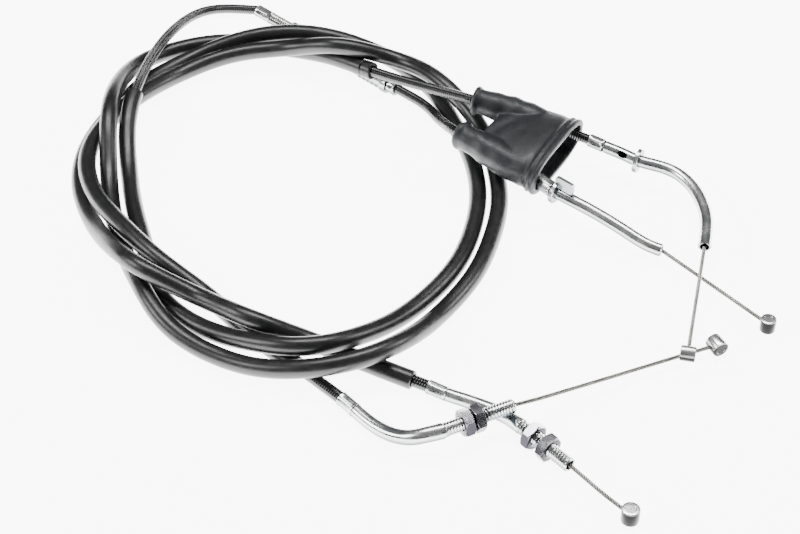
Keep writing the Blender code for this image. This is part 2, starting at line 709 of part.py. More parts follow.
def cut_inspection_hole(pipe, cable, where, kit):
    """Small oval hole through one wall of the grip elbow."""
    centre = point_at(cable.line, cable.run, where)
    along = direction_at(cable, where)
    outward = (HOLE_FACING - along * HOLE_FACING.dot(along)).normalized()
    hole = cutter_cylinder("inspection_hole", HOLE_RADIUS, HOLE_LONG,
                           axis_matrix(centre + outward * HOLE_OUT, outward, along), kit)
    hole.scale = (HOLE_STRETCH, 1.0, 1.0)
    boolean(pipe, hole, "DIFFERENCE")


def build_pull(kit):
    """Pull cable: bent adjuster, housing, in-line adjuster, slightly bent grip pipe."""
    rear, front = place([ADJUSTER_REAR, ADJUSTER_FRONT])
    inline_axis = (front - rear).normalized()
    cable = engine_line(PULL_THREAD_TIP, PULL_THREAD_BACK, PULL_PIPE, PULL_ROUTE)
    after = place(PULL_TO_BOOT + PULL_IN_BOOT + PULL_GRIP)
    upper = smooth_line([front - inline_axis * INLINE_LEAD, front] + after)[PER_SPAN:]
    finish_line(cable, upper, PULL_SLEEVE)
    inline_stop = cable.stop + (front - rear).length
    grip_from = nearest_distance(cable, PULL_GRIP[0])
    grip_to = nearest_distance(cable, PULL_GRIP[1])
    cable.marks += shared_marks(cable, cable.sleeve[1], cable.stop, BARE_SPACING)
    cable.marks += shared_marks(cable, inline_stop, grip_from, BARE_SPACING)
    cable.marks += shared_marks(cable, grip_from, cable.end, PIPE_SPACING)
    cable.neck = nearest_distance(cable, PULL_TO_BOOT[-1]) + NECK_SET_IN
    ferrule = nearest_distance(cable, PULL_PIPE[-1])
    lower_end = cable.stop + REAR_FERRULE[1] - SEATED
    upper_from = cable.stop + FRONT_FERRULE[0] + SEATED
    build_layers("pull", cable,
                 [("_conduit_lower", (ferrule + SEATED, lower_end)),
                  ("_conduit_upper", (upper_from, grip_to - SEATED))],
                 [("_liner_lower", (cable.threaded + SEATED, lower_end)),
                  ("_liner_upper", (upper_from, grip_to + PULL_LINER_IN_PIPE))], kit)
    build_adjuster("pull_engine_adjuster", cable, ferrule - GAP, kit)
    tube("pull_engine_ferrule", stretch(cable, ferrule, cable.start),
         FERRULE_OUTER, FERRULE_INNER, kit.zinc, kit, None, 3)
    tube("pull_grip_ferrule", stretch(cable, grip_from, grip_to),
         FERRULE_WIDE, FERRULE_INNER, kit.zinc, kit, None, 3)
    tube("pull_grip_pipe", stretch(cable, grip_to + WIDE_GAP, cable.end),
         PIPE_OUTER, PIPE_BORE, kit.zinc, kit, None, 3)
    build_nuts("pull", cable, PULL_NUTS, kit)
    build_inline_adjuster(rear, inline_axis, kit)
    build_flag_flange(frame_on(cable, nearest_distance(cable, PULL_GRIP[2])), kit)
    centre, along = build_engine_wire("pull", cable, PULL_WIRE_WAY, PULL_ENGINE_NIPPLE, kit)
    nipple("pull_engine_nipple", centre, Vector((0, 0, 1)), -along,
           NIPPLE_RADIUS, NIPPLE_LONG, kit)
    centre, along = build_grip_wire("pull", cable, PULL_GRIP_NIPPLE, kit)
    flat = Vector((along.x, along.y, 0.0)).normalized()
    nipple("pull_grip_nipple", centre, Vector((0, 0, 1)), -flat,
           GRIP_NIPPLE_RADIUS, GRIP_NIPPLE_LONG, kit)
    return cable


def build_inline_adjuster(rear, axis, kit):
    """In-line adjuster: end ferrules, hollow screw, lock nut and ribbed barrel."""
    for name, ends, outer, bore in (
        ("inline_ferrule_rear", REAR_FERRULE, FERRULE_OUTER, FERRULE_INNER),
        ("inline_screw", SCREW, THREAD_RADIUS, SCREW_BORE),
        ("inline_ferrule_front", FRONT_FERRULE, FERRULE_WIDE, FERRULE_INNER),
    ):
        middle = axis_matrix(rear + axis * (ends[0] + ends[1]) / 2, axis)
        turned(name, ring_profile(outer, bore, ends[1] - ends[0]), middle, kit.zinc, kit)
    hex_nut("inline_lock_nut", rear + axis * INLINE_NUT, axis, INLINE_NUT_TURN,
            INLINE_NUT_FLATS, kit)
    turned("inline_barrel", barrel_profile(), axis_matrix(rear, axis), kit.zinc, kit)


def barrel_profile():
    """Barrel outline: plain sleeve, a ribbed grip and a larger ring at the front."""
    low, high = BARREL
    outer = [(BARREL_RING, high), (BARREL_RING, high - BARREL_RING_LONG),
             (BARREL_RADIUS, high - BARREL_RING_LONG - BARREL_RING_NECK)]
    rib = high - FIRST_RIB
    for _ in range(BARREL_RIBS):
        outer.append((BARREL_RADIUS, rib))
        outer.append((BARREL_RIB, rib - RIB_EDGE))
        outer.append((BARREL_RIB, rib - RIB_LONG + RIB_EDGE))
        outer.append((BARREL_RADIUS, rib - RIB_LONG))
        rib -= RIB_PITCH
    outer.append((BARREL_RADIUS, low))
    return outer + [(BARREL_BORE, low), (BARREL_BORE, high)]


def build_flag_flange(frame, kit):
    """Round collar with a flag-shaped locating plate standing above the pipe."""
    flange = turned("pull_grip_flange", ring_profile(FLAG_RING, FLANGE_HOLE, FLANGE_THICK),
                    frame, kit.zinc, kit, 24)
    mesh = bpy.data.meshes.new("flag_plate")
    work = bmesh.new()
    bmesh.ops.create_cube(work, size=1.0)
    high = PLATE_TOP - FLANGE_HOLE - PLATE_OFF_PIPE
    bmesh.ops.scale(work, verts=work.verts, vec=(high, PLATE_THICK, PLATE_LONG))
    work.to_mesh(mesh)
    work.free()
    plate = bpy.data.objects.new("flag_plate", mesh)
    hide_cutter(plate, kit.cutters)
    shift = Vector((PLATE_TOP - high / 2, 0.0, (PLATE_LONG - FLANGE_THICK) / 2 + PLATE_OVERLAP))
    plate.matrix_world = frame @ Matrix.Translation(shift)
    boolean(flange, plate, "UNION")


def main():
    remove_old_objects()
    kit = types.SimpleNamespace(
        parts=make_collection(OBJECT_NAME),
        cutters=make_collection("cutters", hidden=True),
        steel=make_material("plated_steel", (0.62, 0.63, 0.64), 1.0, 0.25),
        zinc=make_material("zinc_plate", (0.72, 0.73, 0.72), 1.0, 0.30),
        rubber=make_material("black_rubber", (0.030, 0.031, 0.033), 0.0, 0.45),
        plastic=make_material("black_plastic", (0.020, 0.020, 0.022), 0.0, 0.30),
        wire=make_material("steel_wire", (0.42, 0.41, 0.39), 1.0, 0.40),
    )
    return_cable = build_return(kit)
    pull_cable = build_pull(kit)
    build_boot(return_cable, pull_cable, kit)


main()
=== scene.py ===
"""Looks of the throttle cable set: camera, housings, end fittings, boot, materials and light.

Everything is built in metres, in the same frame as the CAD, from the CAD's own route points.
"""
import math
import types

import bmesh
import bpy
import numpy as np
from mathutils import Matrix, Vector

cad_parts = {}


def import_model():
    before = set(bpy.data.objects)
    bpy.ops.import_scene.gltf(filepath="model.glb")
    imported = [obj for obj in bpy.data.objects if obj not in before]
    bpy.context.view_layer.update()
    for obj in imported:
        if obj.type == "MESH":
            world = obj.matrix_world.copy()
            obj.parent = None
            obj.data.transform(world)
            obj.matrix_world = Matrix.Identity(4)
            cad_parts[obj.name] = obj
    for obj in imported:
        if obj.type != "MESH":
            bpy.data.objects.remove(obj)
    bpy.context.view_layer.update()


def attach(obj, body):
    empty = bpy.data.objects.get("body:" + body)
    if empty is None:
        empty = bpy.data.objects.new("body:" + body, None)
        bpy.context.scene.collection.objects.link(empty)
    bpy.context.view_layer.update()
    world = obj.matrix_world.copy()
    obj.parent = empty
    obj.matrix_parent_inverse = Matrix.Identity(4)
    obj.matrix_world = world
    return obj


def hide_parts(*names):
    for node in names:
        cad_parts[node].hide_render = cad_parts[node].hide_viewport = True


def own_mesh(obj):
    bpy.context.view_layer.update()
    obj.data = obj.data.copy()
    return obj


SET = "cable_set"
# The points below are in the frame they were read in; this is the CAD origin's place in it.
ORIGIN = Vector((0.00363, 0.02220, 0.0))

# Camera
CAMERA_PLACE = (-0.00363, -0.60509, 0.54356)
CAMERA_TILT = 47.0
CAMERA_LENS = 85.0
CAMERA_SENSOR = 36.0

# Housings: covers, conduits and the band; steps are distances between rings
SLEEVE_OUTER = 0.0039
SLEEVE_INNER = 0.0028
CONDUIT_OUTER = 0.00235
CONDUIT_THICK = 0.00260
CONDUIT_INNER = 0.00145
RIB_PITCH = 0.0011
RIB_DEPTH = 0.00018
BAND_OUTER = 0.0041
BAND_INNER = 0.0027
BAND_LONG = 0.0050
COVER_STEP = 0.0035
COVER_EDGE = 0.0004
HIDDEN_STEP = 0.0040
BAND_STEP = 0.0005
SEATED = 0.001
RETURN_SLEEVE = (0.0245, 1.0015)
PULL_SLEEVE = (0.0065, 0.8600)

# Bare wires
WIRE_RADIUS = 0.00085
STRANDS = 6
STRAND_TURN = 0.0080
STRAND_SIDES = 8
STRAND_STEP = 0.0005
GRIP_WIRE_INSIDE = 0.0020
WIRE_ENTRY_SHARE = 0.25
TAIL = 0.0254

# End fittings; EDGE is the size of a small chamfer
PIPE_OUTER = 0.0028
PIPE_WIDE = 0.0032
PIPE_BORE = 0.0020
THREAD_RADIUS = 0.0030
THREAD_PITCH = 0.00125
THREAD_DEPTH = 0.00060
THREAD_STEPS = 10
THREAD_LEAD = 0.005
THREAD_CHAMFER = 0.0005
THREAD_STARTS = 0.0006
NECK_CHAMFER = (0.0003, 0.0008)
COLLAR_LONG = 0.0004
PIPE_STEP = 0.0010
BORE_STEP = 0.0020
MOUTH_EDGE = 0.0005
STEP_LONG = 0.0015
EDGE = 0.0003
FERRULE_OUTER = 0.0030
FERRULE_WIDE = 0.0036
FERRULE_INNER = 0.00262
CRIMP_ENDS = 0.0006
CRIMP_RAMP = 0.0008
CRIMP_STEP = 0.0003
GAP = 0.0003
WIDE_GAP = 0.0005
NUT_ACROSS_FLATS = 0.010
NUT_THICK = 0.0042
NUT_HOLE = 0.0031
NUT_FACE_SHARE = 0.93
NUT_CHAMFER_SHARE = 0.96
NUT_CHAMFER_SLOPE = 1.6
NUT_FIRST_ROW = 0.0001
NUT_ROW_STEP = 0.00016
NUT_TURNS = (0.35, 0.95)
RETURN_NUTS = (0.0100, 0.0149)
PULL_NUTS = (0.0067, 0.0146)
FLANGE_RADIUS = 0.0055
FLANGE_THICK = 0.0020
FLANGE_HOLE = 0.0029
FLAG_RING = 0.0052
PLATE_TOP = 0.0090
PLATE_LONG = 0.0092
PLATE_THICK = 0.0016
PLATE_OFF_PIPE = 0.0006
PLATE_OVERLAP = 0.0002
PLATE_EDGE = 0.0002
HOLE_RADIUS = 0.0015
HOLE_HALF = 0.0014
HOLE_STRETCH = 1.6
AXIS_GAP = 0.00001
HOLE_FACING = Vector((-0.35, -0.75, 0.55))
NIPPLE_RADIUS = 0.0035
NIPPLE_LONG = 0.0066
NIPPLE_DIP = 0.0002
NIPPLE_CENTRE = 0.0002
NIPPLE_CORNER = (0.0005, 0.0001, 0.0006)
GRIP_NIPPLE_RADIUS = 0.0032
GRIP_NIPPLE_LONG = 0.0062

# In-line adjuster, distances from its rear end
REAR_FERRULE = (0.0003, 0.0100)
SCREW = (0.0104, 0.0600)
SCREW_BORE = 0.0024
INLINE_NUT = 0.0262
INLINE_NUT_FLATS = 0.0080
INLINE_NUT_TURN = 0.3
INLINE_LEAD = 0.006
BARREL = (0.0320, 0.0880)
BARREL_RADIUS = 0.0038
BARREL_BORE = 0.0033
BARREL_RIB = 0.0042
BARREL_RIBS = 5
BARREL_RING = 0.0045
BARREL_RING_ROWS = (0.0032, 0.0035, 0.0040)
FIRST_RIB = 0.0055
RIB_ROWS = (0.0005, 0.0013, 0.0018)
RIB_STEP = 0.0026
FRONT_FERRULE = (0.0884, 0.0927)

# Boot
BOOT_MOUTH_WIDE = 0.0490
BOOT_MOUTH_HIGH = 0.0210
BOOT_OPEN_WIDE = 0.0430
BOOT_OPEN_HIGH = 0.0148
BOOT_VOXEL = 0.00045
NECK_SET_IN = 0.003
FOLDS_AT = 0.030
FOLDS_SPREAD = 0.009
FOLD_PITCH = 0.0095
FOLD_DEPTH = 0.00026
FOLD_WANDER = 2.0
FOLD_SWAY = 190.0
SOFTENING = (0.5, 12)
BOOT_MOUTH = (0.0697, 0.0556, 0.0137)
BOOT_AXIS = Vector((0.86, -0.51, -0.075)).normalized()
BOOT_ACROSS = Vector((0.51, 0.86, 0.0)).normalized()
BOOT_UPWARD = BOOT_AXIS.cross(BOOT_ACROSS).normalized()
# Body sections: distance behind the mouth, share of mouth width and of mouth height
BOOT_BODY = [
    (0.0000, 0.955, 0.915), (0.0005, 0.990, 0.975), (0.0012, 1.000, 1.000),
    (0.0020, 0.995, 0.990), (0.0026, 0.960, 0.930), (0.0031, 0.955, 0.920),
    (0.0037, 0.985, 0.970), (0.0045, 0.985, 0.970), (0.0053, 0.940, 0.900),
    (0.0066, 0.925, 0.880), (0.0082, 0.940, 0.900), (0.0105, 0.935, 0.880),
    (0.0160, 0.925, 0.810), (0.0230, 0.885, 0.690), (0.0290, 0.800, 0.600),
    (0.0335, 0.680, 0.500),
]
BOOT_HOLLOW = [
    (-0.0020, 1.00, 1.00), (0.0040, 1.00, 1.00), (0.0160, 0.90, 0.78),
    (0.0230, 0.84, 0.60), (0.0290, 0.70, 0.46),
]
# Limb sections: distance from the neck rim, radius
LIMB = [
    (0.0000, 0.0058), (0.0004, 0.0065), (0.0012, 0.0069), (0.0020, 0.0065),
    (0.0026, 0.0058), (0.0045, 0.0057), (0.0075, 0.0060), (0.0100, 0.0062),
    (0.0150, 0.0067), (0.0200, 0.0070), (0.0250, 0.0071), (0.0300, 0.0069),
    (0.0345, 0.0060), (0.0380, 0.0046),
]
LIMB_BORE = [
    (-0.0020, 0.0036), (0.0010, 0.0033), (0.0030, 0.0029), (0.0100, 0.0029),
    (0.0140, 0.0040), (0.0200, 0.0046), (0.0260, 0.0046), (0.0330, 0.0046),
]

PER_SPAN = 24
SIDES = 28
DIRECTION_REACH = 0.0008
FLOOR_DROP = 0.0004

# Return cable: engine pipe, housing, grip elbow, the same points as the CAD's
RETURN_THREAD_TIP = (0.0436, -0.0888, 0.0103)
RETURN_THREAD_BACK = (0.0159, -0.1021, 0.0103)
RETURN_PIPE = [
    (0.0106, -0.1033, 0.0097), (0.0053, -0.1032, 0.0080), (0.0008, -0.1013, 0.0060),
    (-0.0038, -0.0983, 0.0044), (-0.0085, -0.0943, 0.0034), (-0.0127, -0.0901, 0.0031),
    (-0.0171, -0.0850, 0.0030),
]
RETURN_ROUTE = [
    (-0.0230, -0.0785, 0.0031), (-0.0425, -0.0605, 0.0042), (-0.0615, -0.0425, 0.0046),
    (-0.0795, -0.0235, 0.0062), (-0.1000, -0.0085, 0.0125), (-0.1180, 0.0125, 0.0135),
    (-0.1315, 0.0340, 0.0120), (-0.1375, 0.0590, 0.0120), (-0.1315, 0.0845, 0.0109),
    (-0.1190, 0.1075, 0.0085), (-0.1015, 0.1275, 0.0060), (-0.0780, 0.1375, 0.0090),
    (-0.0520, 0.1385, 0.0120), (-0.0275, 0.1290, 0.0200), (-0.0020, 0.1275, 0.0135),
    (0.0175, 0.1100, 0.0149), (0.0346, 0.0880, 0.0083), (0.0413, 0.0650, 0.0051),
    (0.0433, 0.0395, 0.0041), (0.0390, 0.0135, 0.0042), (0.0300, -0.0115, 0.0045),
    (0.0155, -0.0340, 0.0045), (0.0010, -0.0555, 0.0116), (-0.0205, -0.0690, 0.0136),
    (-0.0470, -0.0680, 0.0085), (-0.0700, -0.0580, 0.0042), (-0.0924, -0.0429, 0.0064),
    (-0.1065, -0.0215, 0.0100), (-0.1160, 0.0030, 0.0055), (-0.1235, 0.0280, 0.0042),
    (-0.1280, 0.0535, 0.0090), (-0.1295, 0.0775, 0.0195), (-0.1290, 0.1050, 0.0158),
    (-0.1230, 0.1325, 0.0070), (-0.1065, 0.1480, 0.0042), (-0.0810, 0.1535, 0.0045),
    (-0.0550, 0.1485, 0.0045), (-0.0330, 0.1350, 0.0096), (-0.0120, 0.1190, 0.0128),
    (0.0100, 0.1040, 0.0160), (0.0305, 0.0886, 0.0208),
]
RETURN_IN_BOOT = [(0.0448, 0.0837, 0.0195), (0.0620, 0.0775, 0.0160), (0.0735, 0.0732, 0.0144)]
RETURN_GRIP = [
    (0.0840, 0.0687, 0.0131), (0.0902, 0.0646, 0.0129), (0.0987, 0.0594, 0.0124),
    (0.1045, 0.0557, 0.0120), (0.1138, 0.0519, 0.0118), (0.1212, 0.0472, 0.0114),
    (0.1265, 0.0395, 0.0109), (0.1294, 0.0305, 0.0104), (0.1304, 0.0199, 0.0100),
    (0.1293, 0.0107, 0.0097), (0.1277, 0.0021, 0.0095),
]
RETURN_WIRE_WAY = [(0.0532, -0.0847, 0.0094), (0.0633, -0.0793, 0.0078),
                   (0.0837, -0.0686, 0.0050), (0.1041, -0.0594, 0.0040)]
RETURN_ENGINE_NIPPLE = (0.1272, -0.0498, 0.0037)
RETURN_GRIP_NIPPLE = (0.1139, -0.0598, 0.0090)

# Pull cable: engine pipe, housing to the in-line adjuster
PULL_THREAD_TIP = (0.0638, -0.1155, 0.0059)
PULL_THREAD_BACK = (0.0463, -0.0956, 0.0059)
PULL_PIPE = [
    (0.0439, -0.0919, 0.0046), (0.0406, -0.0879, 0.0034), (0.0349, -0.0841, 0.0030),
    (0.0292, -0.0812, 0.0030), (0.0234, -0.0785, 0.0030), (0.0184, -0.0763, 0.0031),
]
PULL_ROUTE = [
    (0.0110, -0.0725, 0.0036), (-0.0125, -0.0610, 0.0046), (-0.0360, -0.0500, 0.0063),
    (-0.0600, -0.0460, 0.0150), (-0.0825, -0.0300, 0.0121), (-0.1050, -0.0210, 0.0190),
    (-0.1210, -0.0005, 0.0135), (-0.1315, 0.0220, 0.0055), (-0.1400, 0.0465, 0.0042),
    (-0.1405, 0.0730, 0.0042), (-0.1325, 0.0980, 0.0042), (-0.1195, 0.1210, 0.0042),
    (-0.1005, 0.1390, 0.0045), (-0.0765, 0.1470, 0.0103), (-0.0505, 0.1475, 0.0144),
    (-0.0250, 0.1425, 0.0131), (-0.0015, 0.1365, 0.0050), (0.0145, 0.1170, 0.0042),
    (0.0243, 0.0927, 0.0040), (0.0315, 0.0675, 0.0040), (0.0340, 0.0415, 0.0042),
    (0.0300, 0.0150, 0.0042), (0.0205, -0.0090, 0.0042), (0.0045, -0.0305, 0.0045),
    (-0.0125, -0.0490, 0.0100), (-0.0355, -0.0615, 0.0150), (-0.0600, -0.0540, 0.0101),
    (-0.0815, -0.0400, 0.0048), (-0.0990, -0.0210, 0.0042), (-0.1070, 0.0040, 0.0042),
    (-0.1140, 0.0290, 0.0045), (-0.1195, 0.0555, 0.0047), (-0.1220, 0.0805, 0.0133),
    (-0.1190, 0.1050, 0.0175), (-0.1150, 0.1340, 0.0128), (-0.1075, 0.1565, 0.0104),
    (-0.0940, 0.1810, 0.0034), (-0.0695, 0.1790, 0.0049),
]
ADJUSTER_REAR = (-0.0695, 0.1790, 0.0049)
ADJUSTER_FRONT = (-0.0010, 0.1160, 0.0049)
PULL_TO_BOOT = [
    (0.0105, 0.1070, 0.0034), (0.0165, 0.0945, 0.0060), (0.0205, 0.0820, 0.0110),
    (0.0250, 0.0675, 0.0185),
]
PULL_IN_BOOT = [(0.0351, 0.0587, 0.0180), (0.0480, 0.0500, 0.0150)]
PULL_GRIP = [
    (0.0594, 0.0421, 0.0126), (0.0660, 0.0356, 0.0122), (0.0672, 0.0345, 0.0121),
    (0.0763, 0.0278, 0.0113), (0.0821, 0.0239, 0.0104), (0.0890, 0.0189, 0.0092),
    (0.0967, 0.0130, 0.0076), (0.1040, 0.0078, 0.0060), (0.1106, 0.0048, 0.0050),
]
PULL_WIRE_WAY = [(0.0694, -0.1217, 0.0053), (0.0760, -0.1286, 0.0043)]
PULL_ENGINE_NIPPLE = (0.0847, -0.1372, 0.0036)
PULL_GRIP_NIPPLE = (0.1494, -0.0378, 0.0036)


def place(points):
    return [Vector(p) - ORIGIN for p in points]


# ---------------------------------------------------------------- centre lines
def spline_slopes(knots, marks):
    """Slopes at the knots of a natural cubic spline."""
    count = len(knots)
    spans = np.diff(marks)
    rises = np.diff(knots, axis=0) / spans[:, None]
    system = np.zeros((count, count))
    right = np.zeros((count, 3))
    system[0, :2] = (2.0, 1.0)
    right[0] = 3.0 * rises[0]
    for i in range(1, count - 1):
        before = 1.0 / spans[i - 1]
        after = 1.0 / spans[i]
        system[i, i - 1:i + 2] = (before, 2.0 * (before + after), after)
        right[i] = 3.0 * (rises[i - 1] * before + rises[i] * after)
    system[-1, -2:] = (1.0, 2.0)
    right[-1] = 3.0 * rises[-1]
    return np.linalg.solve(system, right)


def smooth_line(points, per_span=PER_SPAN, even=False):
    """Close points on the smooth curve through the given points."""
    knots = np.array(points)
    lengths = np.linalg.norm(np.diff(knots, axis=0), axis=1)
    steps = np.ones(len(lengths)) if even else np.sqrt(lengths / lengths.mean())
    marks = np.concatenate([[0.0], np.cumsum(steps)])
    slopes = spline_slopes(knots, marks)
    line = []
    for i, step in enumerate(steps):
        for t in np.linspace(0.0, 1.0, per_span, endpoint=False):
            point = knots[i] * (2 * t**3 - 3 * t**2 + 1)
            point = point + knots[i + 1] * (3 * t**2 - 2 * t**3)
            point = point + slopes[i] * step * (t**3 - 2 * t**2 + t)
            point = point + slopes[i + 1] * step * (t**3 - t**2)
            line.append(Vector(point))
    line.append(Vector(knots[-1]))
    return line


def distances(line):
    run = [0.0]
    for a, b in zip(line, line[1:]):
        run.append(run[-1] + (b - a).length)
    return run


def point_at(line, run, where):
    index = int(np.searchsorted(run, where))
    index = min(max(index, 1), len(line) - 1)
    span = max(run[index] - run[index - 1], 1e-9)
    return line[index - 1].lerp(line[index], (where - run[index - 1]) / span)


def direction_at(cable, where, reach=0.001):
    ahead = point_at(cable.line, cable.run, where + reach)
    behind = point_at(cable.line, cable.run, where - reach)
    return (ahead - behind).normalized()


def nearest_distance(cable, spot):
    spot = Vector(spot) - ORIGIN
    index = min(range(len(cable.line)), key=lambda i: (cable.line[i] - spot).length)
    return cable.run[index]


def axis_matrix(origin, axis, up=None):
    """Frame with local Z along the axis; local X close to the up direction."""
    z = Vector(axis).normalized()
    hint = Vector(up) if up else Vector((0.0, 0.0, 1.0))
    if abs(z.dot(hint)) > 0.95:
        hint = Vector((1.0, 0.0, 0.0))
    x = (hint - z * hint.dot(z)).normalized()
    y = z.cross(x)
    matrix = Matrix((x, y, z)).transposed().to_4x4()
    matrix.translation = origin
    return matrix


def ring(centre, across, upward, half_wide, half_high, squareness, count=24):
    """Rounded ring: squareness 2 is an ellipse, larger numbers are boxier."""
    points = []
    for i in range(count):
        angle = 2 * math.pi * i / count
        c = math.cos(angle)
        s = math.sin(angle)
        x = math.copysign(abs(c) ** (2 / squareness), c) * half_wide
        y = math.copysign(abs(s) ** (2 / squareness), s) * half_high
        points.append(centre + across * x + upward * y)
    return points


def loft(name, rings):
    """Closed mesh through a row of rings, capped at both ends."""
    work = bmesh.new()
    rows = [[work.verts.new(p) for p in points] for points in rings]
    count = len(rows[0])
    for a, b in zip(rows, rows[1:]):
        for i in range(count):
            j = (i + 1) % count
            work.faces.new((a[i], a[j], b[j], b[i]))
    work.faces.new(rows[0][::-1])
    work.faces.new(rows[-1])
    bmesh.ops.recalc_face_normals(work, faces=work.faces)
    mesh = bpy.data.meshes.new(name)
    work.to_mesh(mesh)
    work.free()
    return bpy.data.objects.new(name, mesh)


# ------------------------------------------------------------------ cable lines
def engine_line(tip, back, pipe, route):
    """Centre line from the thread's mouth through the bent pipe and the housing."""
    tip, back = place([tip, back])
    housing = smooth_line(place(route), even=True)
    axis = (tip - back).normalized()
    lead = back + axis * THREAD_LEAD
    bend = smooth_line([lead, back] + place(pipe) + [housing[0], housing[6]])
    bend = bend[PER_SPAN:-PER_SPAN]
    cable = types.SimpleNamespace(axis=axis, threaded=(tip - back).length)
    cable.line = [tip] + bend[:-1] + housing
    cable.start = cable.threaded + distances(bend)[-1]
    cable.stop = cable.start + distances(housing)[-1]
    return cable


def finish_line(cable, ending, sleeve):
    """Add the line's last stretch and work out its distances."""
    cable.line = cable.line + ending
    cable.run = distances(cable.line)
    cable.end = cable.run[-1]
    cable.sleeve = (cable.start + sleeve[0], cable.start + sleeve[1])


def return_line():
    cable = engine_line(RETURN_THREAD_TIP, RETURN_THREAD_BACK, RETURN_PIPE, RETURN_ROUTE)
    ending = smooth_line([cable.line[-7], cable.line[-1]] + place(RETURN_IN_BOOT + RETURN_GRIP))
    finish_line(cable, ending[PER_SPAN + 1:], RETURN_SLEEVE)
    cable.ferrule = nearest_distance(cable, RETURN_PIPE[-1])
    cable.grip_from = nearest_distance(cable, RETURN_GRIP[0])
    cable.grip_to = nearest_distance(cable, RETURN_GRIP[1])
    cable.neck = cable.stop + NECK_SET_IN
    return cable


def pull_line():
    cable = engine_line(PULL_THREAD_TIP, PULL_THREAD_BACK, PULL_PIPE, PULL_ROUTE)
    cable.rear, front = place([ADJUSTER_REAR, ADJUSTER_FRONT])
    cable.inline = (front - cable.rear).normalized()
    after = place(PULL_TO_BOOT + PULL_IN_BOOT + PULL_GRIP)
    upper = smooth_line([front - cable.inline * INLINE_LEAD, front] + after)[PER_SPAN:]
    finish_line(cable, upper, PULL_SLEEVE)
    cable.ferrule = nearest_distance(cable, PULL_PIPE[-1])
    cable.grip_from = nearest_distance(cable, PULL_GRIP[0])
    cable.grip_to = nearest_distance(cable, PULL_GRIP[1])
    cable.neck = nearest_distance(cable, PULL_TO_BOOT[-1]) + NECK_SET_IN
    return cable


def straight_line(start, axis, long):
    """A short straight stand-in for a cable, to sweep straight fittings along."""
    cable = types.SimpleNamespace(line=[start + axis * long * i / 4 for i in range(5)])
    cable.run = distances(cable.line)
    cable.end = cable.run[-1]
    return cable


# ------------------------------------------------------------------- mesh tools
def carried_frames(cable, marks):
    """Centre and two side directions at each mark, carried along without twisting."""
    spots = np.array(cable.line)
    centres = np.stack([np.interp(marks, cable.run, spots[:, k]) for k in range(3)], axis=1)
    ahead = np.stack([np.interp(np.add(marks, DIRECTION_REACH), cable.run, spots[:, k])
                      for k in range(3)], axis=1)
    behind = np.stack([np.interp(np.subtract(marks, DIRECTION_REACH), cable.run, spots[:, k])
                       for k in range(3)], axis=1)
    frames = {}
    side = Vector((0.0, 0.0, 1.0))
    for mark, centre, forward in zip(marks, centres, ahead - behind):
        along = Vector(forward).normalized()
        side = (side - along * side.dot(along)).normalized()
        frames[mark] = (Vector(centre), side.copy(), along.cross(side))
    return frames


def make_piece(name, mesh, smooth_angle=35.0):
    mesh.shade_smooth()
    mesh.set_sharp_from_angle(angle=math.radians(smooth_angle))
    obj = bpy.data.objects.new(name, mesh)
    bpy.context.scene.collection.objects.link(obj)
    return obj


def mesh_of(name, points, faces):
    work = bmesh.new()
    rows = [work.verts.new(p) for p in points]
    for face in faces:
        work.faces.new([rows[i] for i in face])
    bmesh.ops.recalc_face_normals(work, faces=work.faces)
    mesh = bpy.data.meshes.new(name)
    work.to_mesh(mesh)
    work.free()
    return mesh


def ring_faces(rows, sides, looped):
    """Quads between neighbouring rings of points, with caps or closed into a loop."""
    faces = []
    for row in range(rows if looped else rows - 1):
        a = row * sides
        b = (row + 1) % rows * sides
        for i in range(sides):
            j = (i + 1) % sides
            faces.append((a + i, a + j, b + j, b + i))
    if not looped:
        faces.append(tuple(range(sides)))
        faces.append(tuple((rows - 1) * sides + i for i in range(sides)))
    return faces


def skin(name, cable, rings, sides=SIDES, shape=None, looped=True):
    """Mesh swept along a cable through (distance, radius) rings, given in order."""
    frames = carried_frames(cable, sorted({mark for mark, _ in rings}))
    points = []
    for mark, radius in rings:
        centre, side, up = frames[mark]
        for i in range(sides):
            angle = 2 * math.pi * i / sides
            reach = shape(mark, angle, radius) if shape else radius
            points.append(centre + side * (math.cos(angle) * reach)
                          + up * (math.sin(angle) * reach))
    return make_piece(name, mesh_of(name, points, ring_faces(len(rings), sides, looped)))


def spaced(start, end, step):
    count = max(2, math.ceil((end - start) / step) + 1)
    return [float(x) for x in np.linspace(start, end, count)]


def wall(start, end, outer, inner, step, edge=EDGE):
    """Rings of a plain tube: rounded outer edges, then back along the bore."""
    rings = [(start, outer - edge)]
    rings += [(mark, outer) for mark in spaced(start + edge, end - edge, step)]
    rings += [(end, outer - edge)]
    rings += [(mark, inner) for mark in reversed(spaced(start, end, step))]
    return rings


def lathe(name, profile, matrix, sides=40, shape=None):
    """Turned piece from a closed (radius, height) outline, optionally reshaped."""
    points = []
    for radius, height in profile:
        for i in range(sides):
            angle = 2 * math.pi * i / sides
            reach = shape(angle, radius, height) if shape else radius
            points.append(matrix @ Vector((reach * math.cos(angle),
                                           reach * math.sin(angle), height)))
    return make_piece(name, mesh_of(name, points, ring_faces(len(profile), sides, True)))


def applied(obj):
    """Swap an object's mesh for what its modifiers make of it."""
    graph = bpy.context.evaluated_depsgraph_get()
    mesh = bpy.data.meshes.new_from_object(obj.evaluated_get(graph))
    obj.modifiers.clear()
    obj.data = mesh
    return obj


def cut(obj, cutter, operation="DIFFERENCE"):
    step = obj.modifiers.new("cut", "BOOLEAN")
    step.operation = operation
    step.solver = "EXACT"
    step.object = cutter
    applied(obj)
    bpy.data.objects.remove(cutter, do_unlink=True)


